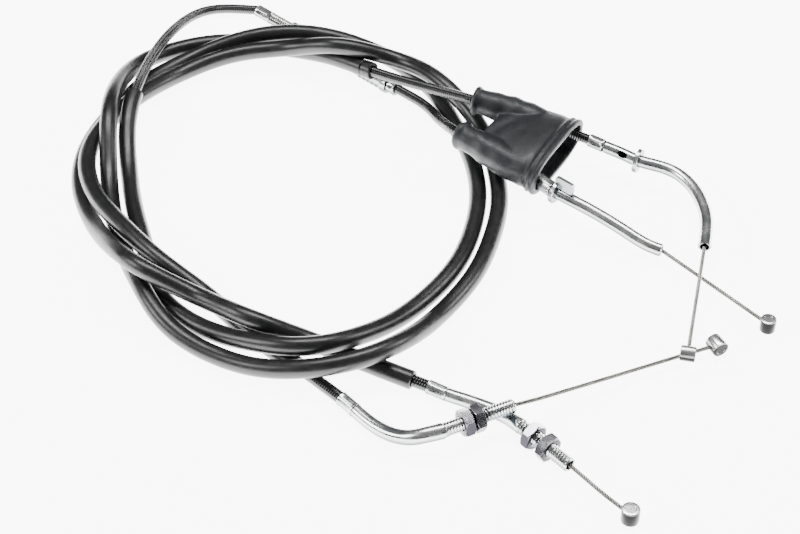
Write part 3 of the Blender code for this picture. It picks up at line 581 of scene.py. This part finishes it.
def hexagon(angle, across_flats):
    """Distance to a hexagon's flat at this angle."""
    wrapped = (angle + math.pi / 6) % (math.pi / 3) - math.pi / 6
    return across_flats / 2 / math.cos(wrapped)


def dress(obj, material, slot, body, *nodes):
    """Give a finished piece its material and body, and hide the CAD nodes it stands for; the
    slot argument is not used.
    """
    obj.data.materials.clear()
    obj.data.materials.append(material)
    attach(obj, body)
    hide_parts(*nodes)
    return obj


# --------------------------------------------------------------------- material
def new_material(name):
    material = bpy.data.materials.new(name)
    material.use_nodes = True
    tree = material.node_tree
    shader = tree.nodes["Principled BSDF"]
    place_node = tree.nodes.new("ShaderNodeTexCoord")
    return material, tree, shader, place_node.outputs["Object"]


def noise(tree, where, scale, detail=3.0, stretch=None):
    texture = tree.nodes.new("ShaderNodeTexNoise")
    texture.inputs["Scale"].default_value = scale
    texture.inputs["Detail"].default_value = detail
    if stretch:
        mapping = tree.nodes.new("ShaderNodeMapping")
        mapping.inputs["Scale"].default_value = stretch
        tree.links.new(where, mapping.inputs["Vector"])
        where = mapping.outputs["Vector"]
    tree.links.new(where, texture.inputs["Vector"])
    return texture.outputs["Fac"]


def spread_colour(tree, fac, dark, light, socket):
    ramp = tree.nodes.new("ShaderNodeValToRGB")
    ramp.color_ramp.elements[0].position = 0.35
    ramp.color_ramp.elements[0].color = (*dark, 1.0)
    ramp.color_ramp.elements[1].position = 0.65
    ramp.color_ramp.elements[1].color = (*light, 1.0)
    tree.links.new(fac, ramp.inputs["Fac"])
    tree.links.new(ramp.outputs["Color"], socket)


def spread_value(tree, fac, low, high, socket):
    step = tree.nodes.new("ShaderNodeMapRange")
    step.inputs["From Min"].default_value = 0.35
    step.inputs["From Max"].default_value = 0.65
    step.inputs["To Min"].default_value = low
    step.inputs["To Max"].default_value = high
    tree.links.new(fac, step.inputs["Value"])
    tree.links.new(step.outputs["Result"], socket)


def roughen(tree, shader, fac, strength, depth):
    bump = tree.nodes.new("ShaderNodeBump")
    bump.inputs["Strength"].default_value = strength
    bump.inputs["Distance"].default_value = depth
    tree.links.new(fac, bump.inputs["Height"])
    tree.links.new(bump.outputs["Normal"], shader.inputs["Normal"])


def plastic(name, dark, light, rough, coat, grain, grain_depth):
    """Moulded black plastic or rubber: mottled colour, uneven sheen and a fine grain."""
    material, tree, shader, where = new_material(name)
    spread_colour(tree, noise(tree, where, 90.0), dark, light, shader.inputs["Base Color"])
    spread_value(tree, noise(tree, where, 350.0), *rough, shader.inputs["Roughness"])
    shader.inputs["Coat Weight"].default_value = coat
    shader.inputs["Coat Roughness"].default_value = 0.22
    roughen(tree, shader, noise(tree, where, grain, 4.0), 0.5, grain_depth)
    return material


def metal(name, painted_underside_shade, dark, light, rough, turn=(-0.25, 0.65)):
    """Plated metal: painted shade darkens its colour towards its underside; uneven polish and
    fine scratches.
    """
    material, tree, shader, where = new_material(name)
    shader.inputs["Metallic"].default_value = 1.0
    # Painted shade: the base colour blends from a dark underside colour to the plated colour as
    # the surface normal turns upward.
    mix = tree.nodes.new("ShaderNodeMix")
    mix.data_type = "RGBA"
    mix.inputs["A"].default_value = (*painted_underside_shade, 1.0)
    spread_colour(tree, noise(tree, where, 90.0), dark, light, mix.inputs["B"])
    shade_facing = tree.nodes.new("ShaderNodeNewGeometry")
    split = tree.nodes.new("ShaderNodeSeparateXYZ")
    tree.links.new(shade_facing.outputs["Normal"], split.inputs["Vector"])
    step = tree.nodes.new("ShaderNodeMapRange")
    step.inputs["From Min"].default_value = turn[0]
    step.inputs["From Max"].default_value = turn[1]
    tree.links.new(split.outputs["Z"], step.inputs["Value"])
    tree.links.new(step.outputs["Result"], mix.inputs["Factor"])
    tree.links.new(mix.outputs["Result"], shader.inputs["Base Color"])
    spread_value(tree, noise(tree, where, 180.0), *rough, shader.inputs["Roughness"])
    roughen(tree, shader, noise(tree, where, 1400.0, 4.0), 0.12, 0.00003)
    return material


def make_materials():
    return types.SimpleNamespace(
        vinyl=plastic("vinyl_cover", (0.0050, 0.0048, 0.0048), (0.0085, 0.0083, 0.0084),
                      (0.30, 0.40), 0.08, 2600.0, 0.00004),
        conduit=plastic("conduit_coating", (0.0030, 0.0030, 0.0033), (0.0060, 0.0060, 0.0066),
                        (0.16, 0.28), 0.25, 1800.0, 0.00003),
        band=plastic("shrink_band", (0.0030, 0.0030, 0.0033), (0.0060, 0.0060, 0.0060),
                     (0.28, 0.42), 0.10, 2200.0, 0.00004),
        rubber=plastic("boot_rubber_skin", (0.0070, 0.0085, 0.0100), (0.0115, 0.0135, 0.0155),
                       (0.44, 0.58), 0.04, 2000.0, 0.00007),
        liner=plastic("liner_white", (0.62, 0.61, 0.57), (0.74, 0.73, 0.69),
                      (0.35, 0.50), 0.0, 1500.0, 0.00003),
        # Each metal's first colour is painted shade for its underside; the last pair sets where
        # that painted shade fades out along the normal's height.
        zinc=metal("zinc_plate", (0.032, 0.042, 0.050), (0.66, 0.68, 0.69),
                   (0.84, 0.84, 0.81), (0.16, 0.28), (-0.25, 0.65)),
        nut=metal("nut_plate", (0.012, 0.011, 0.016), (0.42, 0.40, 0.46),
                  (0.72, 0.71, 0.74), (0.18, 0.30), (0.15, 0.95)),
        nipple=metal("nipple_cast", (0.009, 0.009, 0.009), (0.80, 0.80, 0.79),
                     (0.93, 0.93, 0.92), (0.20, 0.34), (0.15, 0.90)),
        wire=metal("strand_steel", (0.035, 0.033, 0.030), (0.26, 0.25, 0.23),
                   (0.44, 0.42, 0.39), (0.26, 0.42), (-0.2, 0.95)),
    )


def build_sleeve(prefix, cable, looks):
    rings = wall(*cable.sleeve, SLEEVE_OUTER, SLEEVE_INNER, COVER_STEP, COVER_EDGE)
    obj = skin(prefix + "_cover", cable, rings)
    dress(obj, looks.vinyl, "cover_vinyl", SET, prefix + "_sleeve")


def build_conduit(name, node, cable, start, end, covered, looks):
    """Conduit coating with the wound steel's rings showing wherever it is bare."""
    def shape(mark, angle, radius):
        if radius < CONDUIT_OUTER or covered[0] < mark < covered[1]:
            return radius
        swell = math.cos(2 * math.pi * mark / RIB_PITCH)
        return radius - RIB_DEPTH * (0.5 - 0.5 * swell) ** 2

    fine = RIB_PITCH / 6
    marks = []
    stretches = ((start, covered[0], fine), (*covered, HIDDEN_STEP), (covered[1], end, fine))
    for a, b, step in stretches:
        if b > a:
            marks += spaced(a, b, step)[:-1]
    rings = [(mark, CONDUIT_THICK if mark < covered[0] else CONDUIT_OUTER)
             for mark in marks + [end]]
    rings += [(mark, CONDUIT_INNER) for mark in reversed(spaced(start, end, HIDDEN_STEP))]
    obj = skin(name, cable, rings, 18, shape)
    dress(obj, looks.conduit, "conduit_plastic", SET, node)


def stranded(name, line):
    """Bare wire of six strands twisted round a core, along a fine line."""
    cable = types.SimpleNamespace(line=line, run=distances(line))
    cable.end = cable.run[-1]
    marks = spaced(0.0, cable.end, STRAND_STEP)
    frames = carried_frames(cable, marks)
    thick = WIRE_RADIUS / 3
    points, faces = [], []
    for strand in range(STRANDS + 1):
        off = WIRE_RADIUS - thick if strand < STRANDS else 0.0
        first = len(points)
        for mark in marks:
            centre, side, up = frames[mark]
            turn = 2 * math.pi * (strand / STRANDS + mark / STRAND_TURN)
            middle = centre + (side * math.cos(turn) + up * math.sin(turn)) * off
            for i in range(STRAND_SIDES):
                angle = 2 * math.pi * i / STRAND_SIDES
                points.append(middle + (side * math.cos(angle) + up * math.sin(angle)) * thick)
        faces += [tuple(first + i for i in face)
                  for face in ring_faces(len(marks), STRAND_SIDES, False)]
    return make_piece(name, mesh_of(name, points, faces), 60.0), cable


def wire_entry(centre, along, radius):
    return centre - along * (WIRE_ENTRY_SHARE * radius + GAP)


def engine_wire(prefix, cable, way, nipple_at, looks):
    """Tail in the thread, then the bare wire to its nipple, on the sliding core."""
    centre = place([nipple_at])[0]
    tip = cable.line[0]
    along = Vector((centre.x - tip.x, centre.y - tip.y, 0.0)).normalized()
    end = wire_entry(centre, along, NIPPLE_RADIUS)
    bare = smooth_line([tip] + place(way) + [end], per_span=10)
    tail = [tip - cable.axis * (TAIL * share) for share in (1.0, 0.75, 0.5, 0.25)]
    obj, own = stranded(prefix + "_engine_strand", tail + bare)
    dress(obj, looks.wire, "steel_wire", prefix + "_engine_core", prefix + "_engine_wire")
    return obj, own, centre, along


def grip_wire(prefix, cable, nipple_at, looks):
    """Bare wire from the grip pipe to its nipple."""
    centre = place([nipple_at])[0]
    mouth = cable.line[-1]
    along = (centre - mouth).normalized()
    end = wire_entry(centre, along, GRIP_NIPPLE_RADIUS)
    inside = point_at(cable.line, cable.run, cable.end - GRIP_WIRE_INSIDE)
    line = [inside] + [mouth.lerp(end, i / 12) for i in range(13)]
    obj, own = stranded(prefix + "_grip_strand", line)
    dress(obj, looks.wire, "steel_wire", SET, prefix + "_grip_wire")
    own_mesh(obj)
    return obj, own, centre, along


def nipple(name, centre, axis, radius, long, body, node, looks):
    """Cast barrel nipple with turned edges and a shallow rim on its end faces."""
    half = long / 2
    flat, edge, side = NIPPLE_CORNER
    profile = [(NIPPLE_CENTRE, half - NIPPLE_DIP), (radius * 0.55, half - NIPPLE_DIP),
               (radius * 0.62, half), (radius - flat, half), (radius - edge, half - NIPPLE_DIP),
               (radius, half - side)]
    profile += [(r, -h) for r, h in reversed(profile)]
    obj = lathe(name, profile, axis_matrix(centre, axis), 48)
    return dress(obj, looks.nipple, "nipple_metal", body, node)


def across_of(along):
    return Vector((-along.y, along.x, 0.0)).normalized()


def build_wires(prefix, cable, way, spots, looks):
    """Both bare wire ends of one cable with their nipples."""
    obj, own, centre, along = engine_wire(prefix, cable, way, spots[0], looks)
    axis = across_of(along) if prefix == "return" else Vector((0, 0, 1))
    end = nipple(prefix + "_engine_barrel", centre, axis, NIPPLE_RADIUS, NIPPLE_LONG,
                 prefix + "_engine_core", prefix + "_engine_nipple", looks)
    obj, own, centre, along = grip_wire(prefix, cable, spots[1], looks)
    axis = across_of(along) if prefix == "return" else Vector((0, 0, 1))
    end = nipple(prefix + "_grip_barrel", centre, axis, GRIP_NIPPLE_RADIUS,
                 GRIP_NIPPLE_LONG, prefix + "_grip_core", prefix + "_grip_nipple", looks)


# --------------------------------------------------------------- metal fittings
def thread_depth(mark, angle):
    """How far below the crest a thread's surface lies, along its helix."""
    turn = (mark / THREAD_PITCH - angle / (2 * math.pi)) % 1.0
    return THREAD_DEPTH * (1.0 - abs(2.0 * turn - 1.0)) ** 0.8


def build_engine_pipe(prefix, node, cable, looks):
    """Bent pipe: threaded and open at its mouth, with a collar where the bend starts."""
    end_thread = cable.threaded - STEP_LONG
    pipe_end = cable.ferrule - GAP

    def shape(mark, angle, radius):
        if radius < THREAD_RADIUS - THREAD_DEPTH or not EDGE < mark < end_thread:
            return radius
        lead = min(1.0, (mark - EDGE) / THREAD_PITCH)
        return radius - thread_depth(mark, angle) * lead

    rings = [(0.0, PIPE_BORE + EDGE), (0.0, THREAD_RADIUS - THREAD_CHAMFER)]
    rings += [(mark, THREAD_RADIUS)
              for mark in spaced(THREAD_STARTS, end_thread, THREAD_PITCH / THREAD_STEPS)]
    rings += [(end_thread + NECK_CHAMFER[0], THREAD_RADIUS - EDGE),
              (end_thread + NECK_CHAMFER[1], PIPE_WIDE - EDGE),
              (cable.threaded - COLLAR_LONG, PIPE_WIDE)]
    bend = spaced(cable.threaded, pipe_end, PIPE_STEP)
    for i, mark in enumerate(bend):
        rings.append((mark, PIPE_WIDE + (PIPE_OUTER - PIPE_WIDE) * i / (len(bend) - 1)))
    rings += [(m, PIPE_BORE) for m in reversed(spaced(EDGE, pipe_end, BORE_STEP))]
    obj = skin(prefix + "_engine_pipe", cable, rings, 32, shape)
    return dress(obj, looks.zinc, "zinc_plated_steel", SET, node)


def build_crimp(name, node, cable, start, end, outer, looks, sides=6, depth=0.07):
    """Ferrule squeezed flat on several sides along its middle, round at its ends."""
    def shape(mark, angle, radius):
        if radius < outer - EDGE or not start + CRIMP_ENDS < mark < end - CRIMP_ENDS:
            return radius
        edge = min(mark - start, end - mark) - CRIMP_ENDS
        squeeze = min(1.0, edge / CRIMP_RAMP)
        flat = 0.5 + 0.5 * math.cos(sides * angle)
        return radius * (1.0 - depth * squeeze * flat)

    obj = skin(name, cable, wall(start, end, outer, FERRULE_INNER, CRIMP_STEP), 36, shape)
    return dress(obj, looks.zinc, "zinc_plated_steel", SET, node)


def nut_profile(across_flats):
    """Outline heights of a chamfered nut; the hexagon itself comes from its shape."""
    half = NUT_THICK / 2
    rows = [(NUT_HOLE + EDGE, half), (across_flats / 2 * NUT_FACE_SHARE, half)]
    rows += [(across_flats, half - NUT_FIRST_ROW - NUT_ROW_STEP * i) for i in range(7)]
    rows += [(r, -h) for r, h in reversed(rows)]
    return rows + [(NUT_HOLE, -half + EDGE), (NUT_HOLE, half - EDGE)]


def build_nut(name, node, body, centre, axis, turn, across_flats, looks):
    """Hexagonal lock nut with the curved edges that a chamfer leaves on its flats."""
    half = NUT_THICK / 2

    def shape(angle, radius, height):
        if radius < across_flats * 0.75:
            return radius
        chamfer = across_flats / 2 * NUT_CHAMFER_SHARE + (half - abs(height)) * NUT_CHAMFER_SLOPE
        return min(hexagon(angle, across_flats), chamfer)

    matrix = axis_matrix(centre, axis) @ Matrix.Rotation(turn, 4, "Z")
    obj = lathe(name, nut_profile(across_flats), matrix, 96, shape)
    return dress(obj, looks.nut, "nut_steel", body, node)


def build_nuts(prefix, cable, places, looks):
    for name, from_back, turn in zip(("inner", "outer"), places, NUT_TURNS):
        centre = point_at(cable.line, cable.run, cable.threaded - from_back)
        build_nut(f"{prefix}_nut_{name}", f"{prefix}_lock_nut_{name}",
                  f"{prefix}_{name}_nut", centre, cable.axis, turn, NUT_ACROSS_FLATS, looks)


def frame_on(cable, where):
    return axis_matrix(point_at(cable.line, cable.run, where), direction_at(cable, where))


def flange_profile(outer):
    half = FLANGE_THICK / 2
    return [(FLANGE_HOLE, half), (outer - EDGE, half), (outer, half - EDGE),
            (outer, EDGE - half), (outer - EDGE, -half), (FLANGE_HOLE, -half)]


def build_grip_elbow(cable, looks):
    """Bent grip pipe with a rolled mouth and an oval hole through one wall."""
    start = cable.grip_to + WIDE_GAP
    rings = wall(start, cable.end, PIPE_OUTER, PIPE_BORE, PIPE_STEP, MOUTH_EDGE)
    elbow = skin("return_grip_pipe", cable, rings, 36)
    where = nearest_distance(cable, RETURN_GRIP[2])
    centre = point_at(cable.line, cable.run, where)
    along = direction_at(cable, where)
    outward = (HOLE_FACING - along * HOLE_FACING.dot(along)).normalized()
    frame = axis_matrix(centre + outward * PIPE_OUTER, outward, along)
    stretch = Matrix.Diagonal((HOLE_STRETCH, 1.0, 1.0, 1.0))
    profile = [(AXIS_GAP, HOLE_HALF), (HOLE_RADIUS, HOLE_HALF), (HOLE_RADIUS, -HOLE_HALF),
               (AXIS_GAP, -HOLE_HALF)]
    cut(elbow, lathe("hole", profile, frame @ stretch, 32))
    elbow.data.set_sharp_from_angle(angle=math.radians(35.0))
    dress(elbow, looks.zinc, "zinc_plated_steel", SET, "return_grip_elbow")
    collar = lathe("return_flange", flange_profile(FLANGE_RADIUS),
                   frame_on(cable, nearest_distance(cable, RETURN_GRIP[3])), 56)
    dress(collar, looks.zinc, "zinc_plated_steel", SET, "return_grip_flange")


def build_pull_grip(cable, looks):
    """Slightly bent pipe, its collar and the flag-shaped plate that stands on it."""
    start = cable.grip_to + WIDE_GAP
    rings = wall(start, cable.end, PIPE_OUTER, PIPE_BORE, PIPE_STEP, MOUTH_EDGE)
    pipe = skin("pull_grip_tube", cable, rings, 36)
    dress(pipe, looks.zinc, "zinc_plated_steel", SET, "pull_grip_pipe")
    frame = frame_on(cable, nearest_distance(cable, PULL_GRIP[2]))
    collar = lathe("pull_collar", flange_profile(FLAG_RING), frame, 56)
    high = PLATE_TOP - FLANGE_HOLE - PLATE_OFF_PIPE
    middle = Vector((PLATE_TOP - high / 2, 0,
                     PLATE_LONG / 2 - FLANGE_THICK / 2 + PLATE_OVERLAP))
    corners = ring(middle, Vector((1, 0, 0)), Vector((0, 0, 1)), high / 2,
                   PLATE_LONG / 2, 7.0, 40)
    rings = []
    for side, lifted in ((-1, 0.0), (-1, PLATE_EDGE), (1, PLATE_EDGE), (1, 0.0)):
        lift = Vector((0, side * (PLATE_THICK / 2 - lifted), 0))
        rings.append([frame @ (p + lift) for p in corners])
    plate = loft("flag", rings)
    bpy.context.scene.collection.objects.link(plate)
    cut(collar, plate, "UNION")
    collar.data.shade_smooth()
    collar.data.set_sharp_from_angle(angle=math.radians(35.0))
    dress(collar, looks.zinc, "zinc_plated_steel", SET, "pull_grip_flange")


def build_inline_adjuster(cable, looks):
    """In-line adjuster: flared rear ferrule, screw, lock nut and ribbed barrel."""
    rear, axis = cable.rear, cable.inline
    long = FRONT_FERRULE[1]
    own = straight_line(rear, axis, long)
    build_crimp("inline_rear_end", "inline_ferrule_rear", own, *REAR_FERRULE,
                FERRULE_OUTER, looks, 6, 0.09)
    build_crimp("inline_front_end", "inline_ferrule_front", own, *FRONT_FERRULE,
                FERRULE_WIDE, looks)

    def shape(mark, angle, radius):
        return radius - (thread_depth(mark, angle) if radius > SCREW_BORE + EDGE else 0.0)

    rings = [(m, THREAD_RADIUS) for m in spaced(*SCREW, THREAD_PITCH / 8)]
    rings += [(m, SCREW_BORE) for m in reversed(spaced(*SCREW, HIDDEN_STEP))]
    screw = skin("inline_thread", own, rings, 28, shape)
    dress(screw, looks.zinc, "zinc_plated_steel", SET, "inline_screw")
    build_nut("inline_nut", "inline_lock_nut", "adjuster_lock_nut", rear + axis * INLINE_NUT,
              axis, INLINE_NUT_TURN, INLINE_NUT_FLATS, looks)
    barrel = lathe("inline_sleeve", barrel_profile(), axis_matrix(rear, axis), 48)
    dress(barrel, looks.zinc, "zinc_plated_steel", "adjuster_barrel", "inline_barrel")


def barrel_profile():
    """Barrel outline: plain sleeve, a ribbed grip and a larger ring at the front."""
    low, high = BARREL
    outer = [(BARREL_RING - EDGE, high), (BARREL_RING, high - EDGE),
             (BARREL_RING, high - BARREL_RING_ROWS[0]),
             (BARREL_RING - EDGE, high - BARREL_RING_ROWS[1]),
             (BARREL_RADIUS, high - BARREL_RING_ROWS[2])]
    rib = high - FIRST_RIB
    for _ in range(BARREL_RIBS):
        outer += [(BARREL_RADIUS, rib), (BARREL_RIB, rib - RIB_ROWS[0]),
                  (BARREL_RIB, rib - RIB_ROWS[1]), (BARREL_RADIUS, rib - RIB_ROWS[2])]
        rib -= RIB_STEP
    outer += [(BARREL_RADIUS, low + EDGE), (BARREL_RADIUS - EDGE, low)]
    return outer + [(BARREL_BORE, low), (BARREL_BORE, high)]


# ------------------------------------------------------------------------- boot
def boot_sections(rows, wide, high, squareness):
    rings = []
    for behind, share_wide, share_high in rows:
        centre = Vector(BOOT_MOUTH) - ORIGIN - BOOT_AXIS * behind
        rings.append(ring(centre, BOOT_ACROSS, BOOT_UPWARD, wide / 2 * share_wide,
                          high / 2 * share_high, squareness, 64))
    return rings


def limb_sections(cable, rows):
    """Round sections around a conduit's line, from the neck rim forwards."""
    rings = []
    for where, radius in rows:
        centre = point_at(cable.line, cable.run, cable.neck + where)
        ahead = direction_at(cable, cable.neck + where)
        across = Vector((0.0, 0.0, 1.0)).cross(ahead).normalized()
        rings.append(ring(centre, across, ahead.cross(across), radius, radius, 2.0, 40))
    return rings


def linked_loft(name, rings):
    obj = loft(name, rings)
    bpy.context.scene.collection.objects.link(obj)
    return obj


def build_boot(cables, looks):
    """Rubber boot as one soft shell: two beaded necks joined into a lipped mouth."""
    boot = linked_loft("boot_shell",
                       boot_sections(BOOT_BODY, BOOT_MOUTH_WIDE, BOOT_MOUTH_HIGH, 2.6))
    for cable in cables:
        cut(boot, linked_loft("limb", limb_sections(cable, LIMB)), "UNION")
    cut(boot, linked_loft("hollow",
                          boot_sections(BOOT_HOLLOW, BOOT_OPEN_WIDE, BOOT_OPEN_HIGH, 3.0)))
    for cable in cables:
        cut(boot, linked_loft("bore", limb_sections(cable, LIMB_BORE)))
    remesh = boot.modifiers.new("even", "REMESH")
    remesh.mode = "VOXEL"
    remesh.voxel_size = BOOT_VOXEL
    soften = boot.modifiers.new("soften", "SMOOTH")
    soften.factor, soften.iterations = SOFTENING
    applied(boot)
    crease(boot.data)
    boot.data.shade_smooth()
    dress(boot, looks.rubber, "boot_rubber", SET, "cable_boot")


def crease(mesh):
    """Shallow folds across the boot where its necks run into its body."""
    mouth = Vector(BOOT_MOUTH) - ORIGIN
    moves = []
    for vertex in mesh.vertices:
        rel = vertex.co - mouth
        behind = -rel.dot(BOOT_AXIS)
        across = rel.dot(BOOT_ACROSS)
        reach = math.exp(-((behind - FOLDS_AT) / FOLDS_SPREAD) ** 2)
        lag = FOLD_WANDER * math.sin(across * FOLD_SWAY)
        wave = math.sin(2 * math.pi * behind / FOLD_PITCH + lag)
        moves.append(vertex.normal * (FOLD_DEPTH * reach * wave))
    for vertex, move in zip(mesh.vertices, moves):
        vertex.co += move


# ------------------------------------------------------------------------ stage
def make_camera():
    data = bpy.data.cameras.new("camera")
    data.lens = CAMERA_LENS
    data.sensor_width = CAMERA_SENSOR
    camera = bpy.data.objects.new("camera", data)
    camera.location = CAMERA_PLACE
    camera.rotation_euler = (math.radians(CAMERA_TILT), 0.0, 0.0)
    bpy.context.scene.collection.objects.link(camera)
    bpy.context.scene.camera = camera


def make_floor():
    """Flat white surface under the set, bright enough to leave almost no shadow."""
    half = 3.0
    corners = [(-half, -half, 0), (half, -half, 0), (half, half, 0), (-half, half, 0)]
    floor = make_piece("floor", mesh_of("floor", corners, [(0, 1, 2, 3)]))
    floor.location.z = -FLOOR_DROP
    material, tree, shader, where = new_material("floor_white")
    spread_value(tree, noise(tree, where, 3.0), 0.85, 0.90, shader.inputs["Roughness"])
    shader.inputs["Base Color"].default_value = (0.9, 0.9, 0.9, 1.0)
    shader.inputs["Emission Color"].default_value = (1.0, 1.0, 1.0, 1.0)
    shader.inputs["Emission Strength"].default_value = 8.0
    floor.data.materials.append(material)


def make_light(name, place_at, size, power, target=(0.0, 0.0, 0.0)):
    data = bpy.data.lights.new(name, "AREA")
    data.shape = "RECTANGLE"
    data.size, data.size_y = size
    data.energy = power
    light = bpy.data.objects.new(name, data)
    light.location = place_at
    way = Vector(target) - Vector(place_at)
    light.rotation_euler = way.to_track_quat("-Z", "Y").to_euler()
    bpy.context.scene.collection.objects.link(light)


def make_world():
    world = bpy.data.worlds.new("studio")
    world.use_nodes = True
    bpy.context.scene.world = world
    tree = world.node_tree
    sky = tree.nodes["Background"]
    coordinate = tree.nodes.new("ShaderNodeTexCoord")
    split = tree.nodes.new("ShaderNodeSeparateXYZ")
    ramp = tree.nodes.new("ShaderNodeValToRGB")
    ramp.color_ramp.elements[0].position = 0.0
    ramp.color_ramp.elements[0].color = (0.10, 0.105, 0.12, 1.0)
    ramp.color_ramp.elements[1].position = 0.75
    ramp.color_ramp.elements[1].color = (0.60, 0.61, 0.63, 1.0)
    tree.links.new(coordinate.outputs["Generated"], split.inputs["Vector"])
    tree.links.new(split.outputs["Z"], ramp.inputs["Fac"])
    tree.links.new(ramp.outputs["Color"], sky.inputs["Color"])
    sky.inputs["Strength"].default_value = 0.35


def make_stage():
    make_floor()
    make_light("overhead", (0.0, 0.30, 1.1), (1.0, 0.30), 15.0)
    make_light("left_fill", (-1.1, -0.2, 0.7), (0.5, 0.5), 9.0)
    make_light("right_fill", (1.1, 0.1, 0.7), (0.4, 0.5), 7.0)
    make_world()


def build_fittings(back, pull, looks):
    """Every metal fitting and the band at the end of the return cable's cover."""
    band = back.sleeve[1] + WIDE_GAP
    rings = wall(band, band + BAND_LONG, BAND_OUTER, BAND_INNER, BAND_STEP)
    obj = skin("cover_band", back, rings)
    dress(obj, looks.band, "cover_vinyl", SET, "return_sleeve_band")
    for prefix, node, cable, outer in (
        ("return", "return_elbow_adjuster", back, FERRULE_OUTER),
        ("pull", "pull_engine_adjuster", pull, FERRULE_WIDE),
    ):
        build_engine_pipe(prefix, node, cable, looks)
        build_crimp(prefix + "_engine_crimp", prefix + "_engine_ferrule", cable,
                    cable.ferrule, cable.start, FERRULE_OUTER, looks)
        build_crimp(prefix + "_grip_crimp", prefix + "_grip_ferrule", cable,
                    cable.grip_from, cable.grip_to, outer, looks)
    build_nuts("return", back, RETURN_NUTS, looks)
    build_nuts("pull", pull, PULL_NUTS, looks)
    build_grip_elbow(back, looks)
    build_pull_grip(pull, looks)
    build_inline_adjuster(pull, looks)


def hidden_nodes(looks):
    """Liners and inner wires stay as CAD solids and only get their materials."""
    for prefix, names in (("return", ("_liner",)), ("pull", ("_liner_lower", "_liner_upper"))):
        for name in names:
            set_material(prefix + name, looks.liner)
        set_material(prefix + "_inner_wire", looks.wire)


def set_material(node, material):
    slots = bpy.data.objects[node].material_slots
    for slot in slots:
        slot.link = "OBJECT"
        slot.material = material


def main():
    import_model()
    make_camera()
    looks = make_materials()
    back = return_line()
    pull = pull_line()
    inline = pull.stop
    for prefix, cable in (("return", back), ("pull", pull)):
        build_sleeve(prefix, cable, looks)
    build_conduit("return_coating", "return_conduit", back, back.ferrule + SEATED,
                  back.grip_to - SEATED, back.sleeve, looks)
    build_conduit("pull_coating_lower", "pull_conduit_lower", pull, pull.ferrule + SEATED,
                  inline + REAR_FERRULE[1] - SEATED, pull.sleeve, looks)
    upper = inline + FRONT_FERRULE[0] + SEATED
    build_conduit("pull_coating_upper", "pull_conduit_upper", pull, upper,
                  pull.grip_to - SEATED, (upper, upper), looks)
    build_wires("return", back, RETURN_WIRE_WAY, (RETURN_ENGINE_NIPPLE, RETURN_GRIP_NIPPLE),
                looks)
    build_wires("pull", pull, PULL_WIRE_WAY, (PULL_ENGINE_NIPPLE, PULL_GRIP_NIPPLE),
                looks)
    build_fittings(back, pull, looks)
    build_boot((back, pull), looks)
    hidden_nodes(looks)
    make_stage()


main()
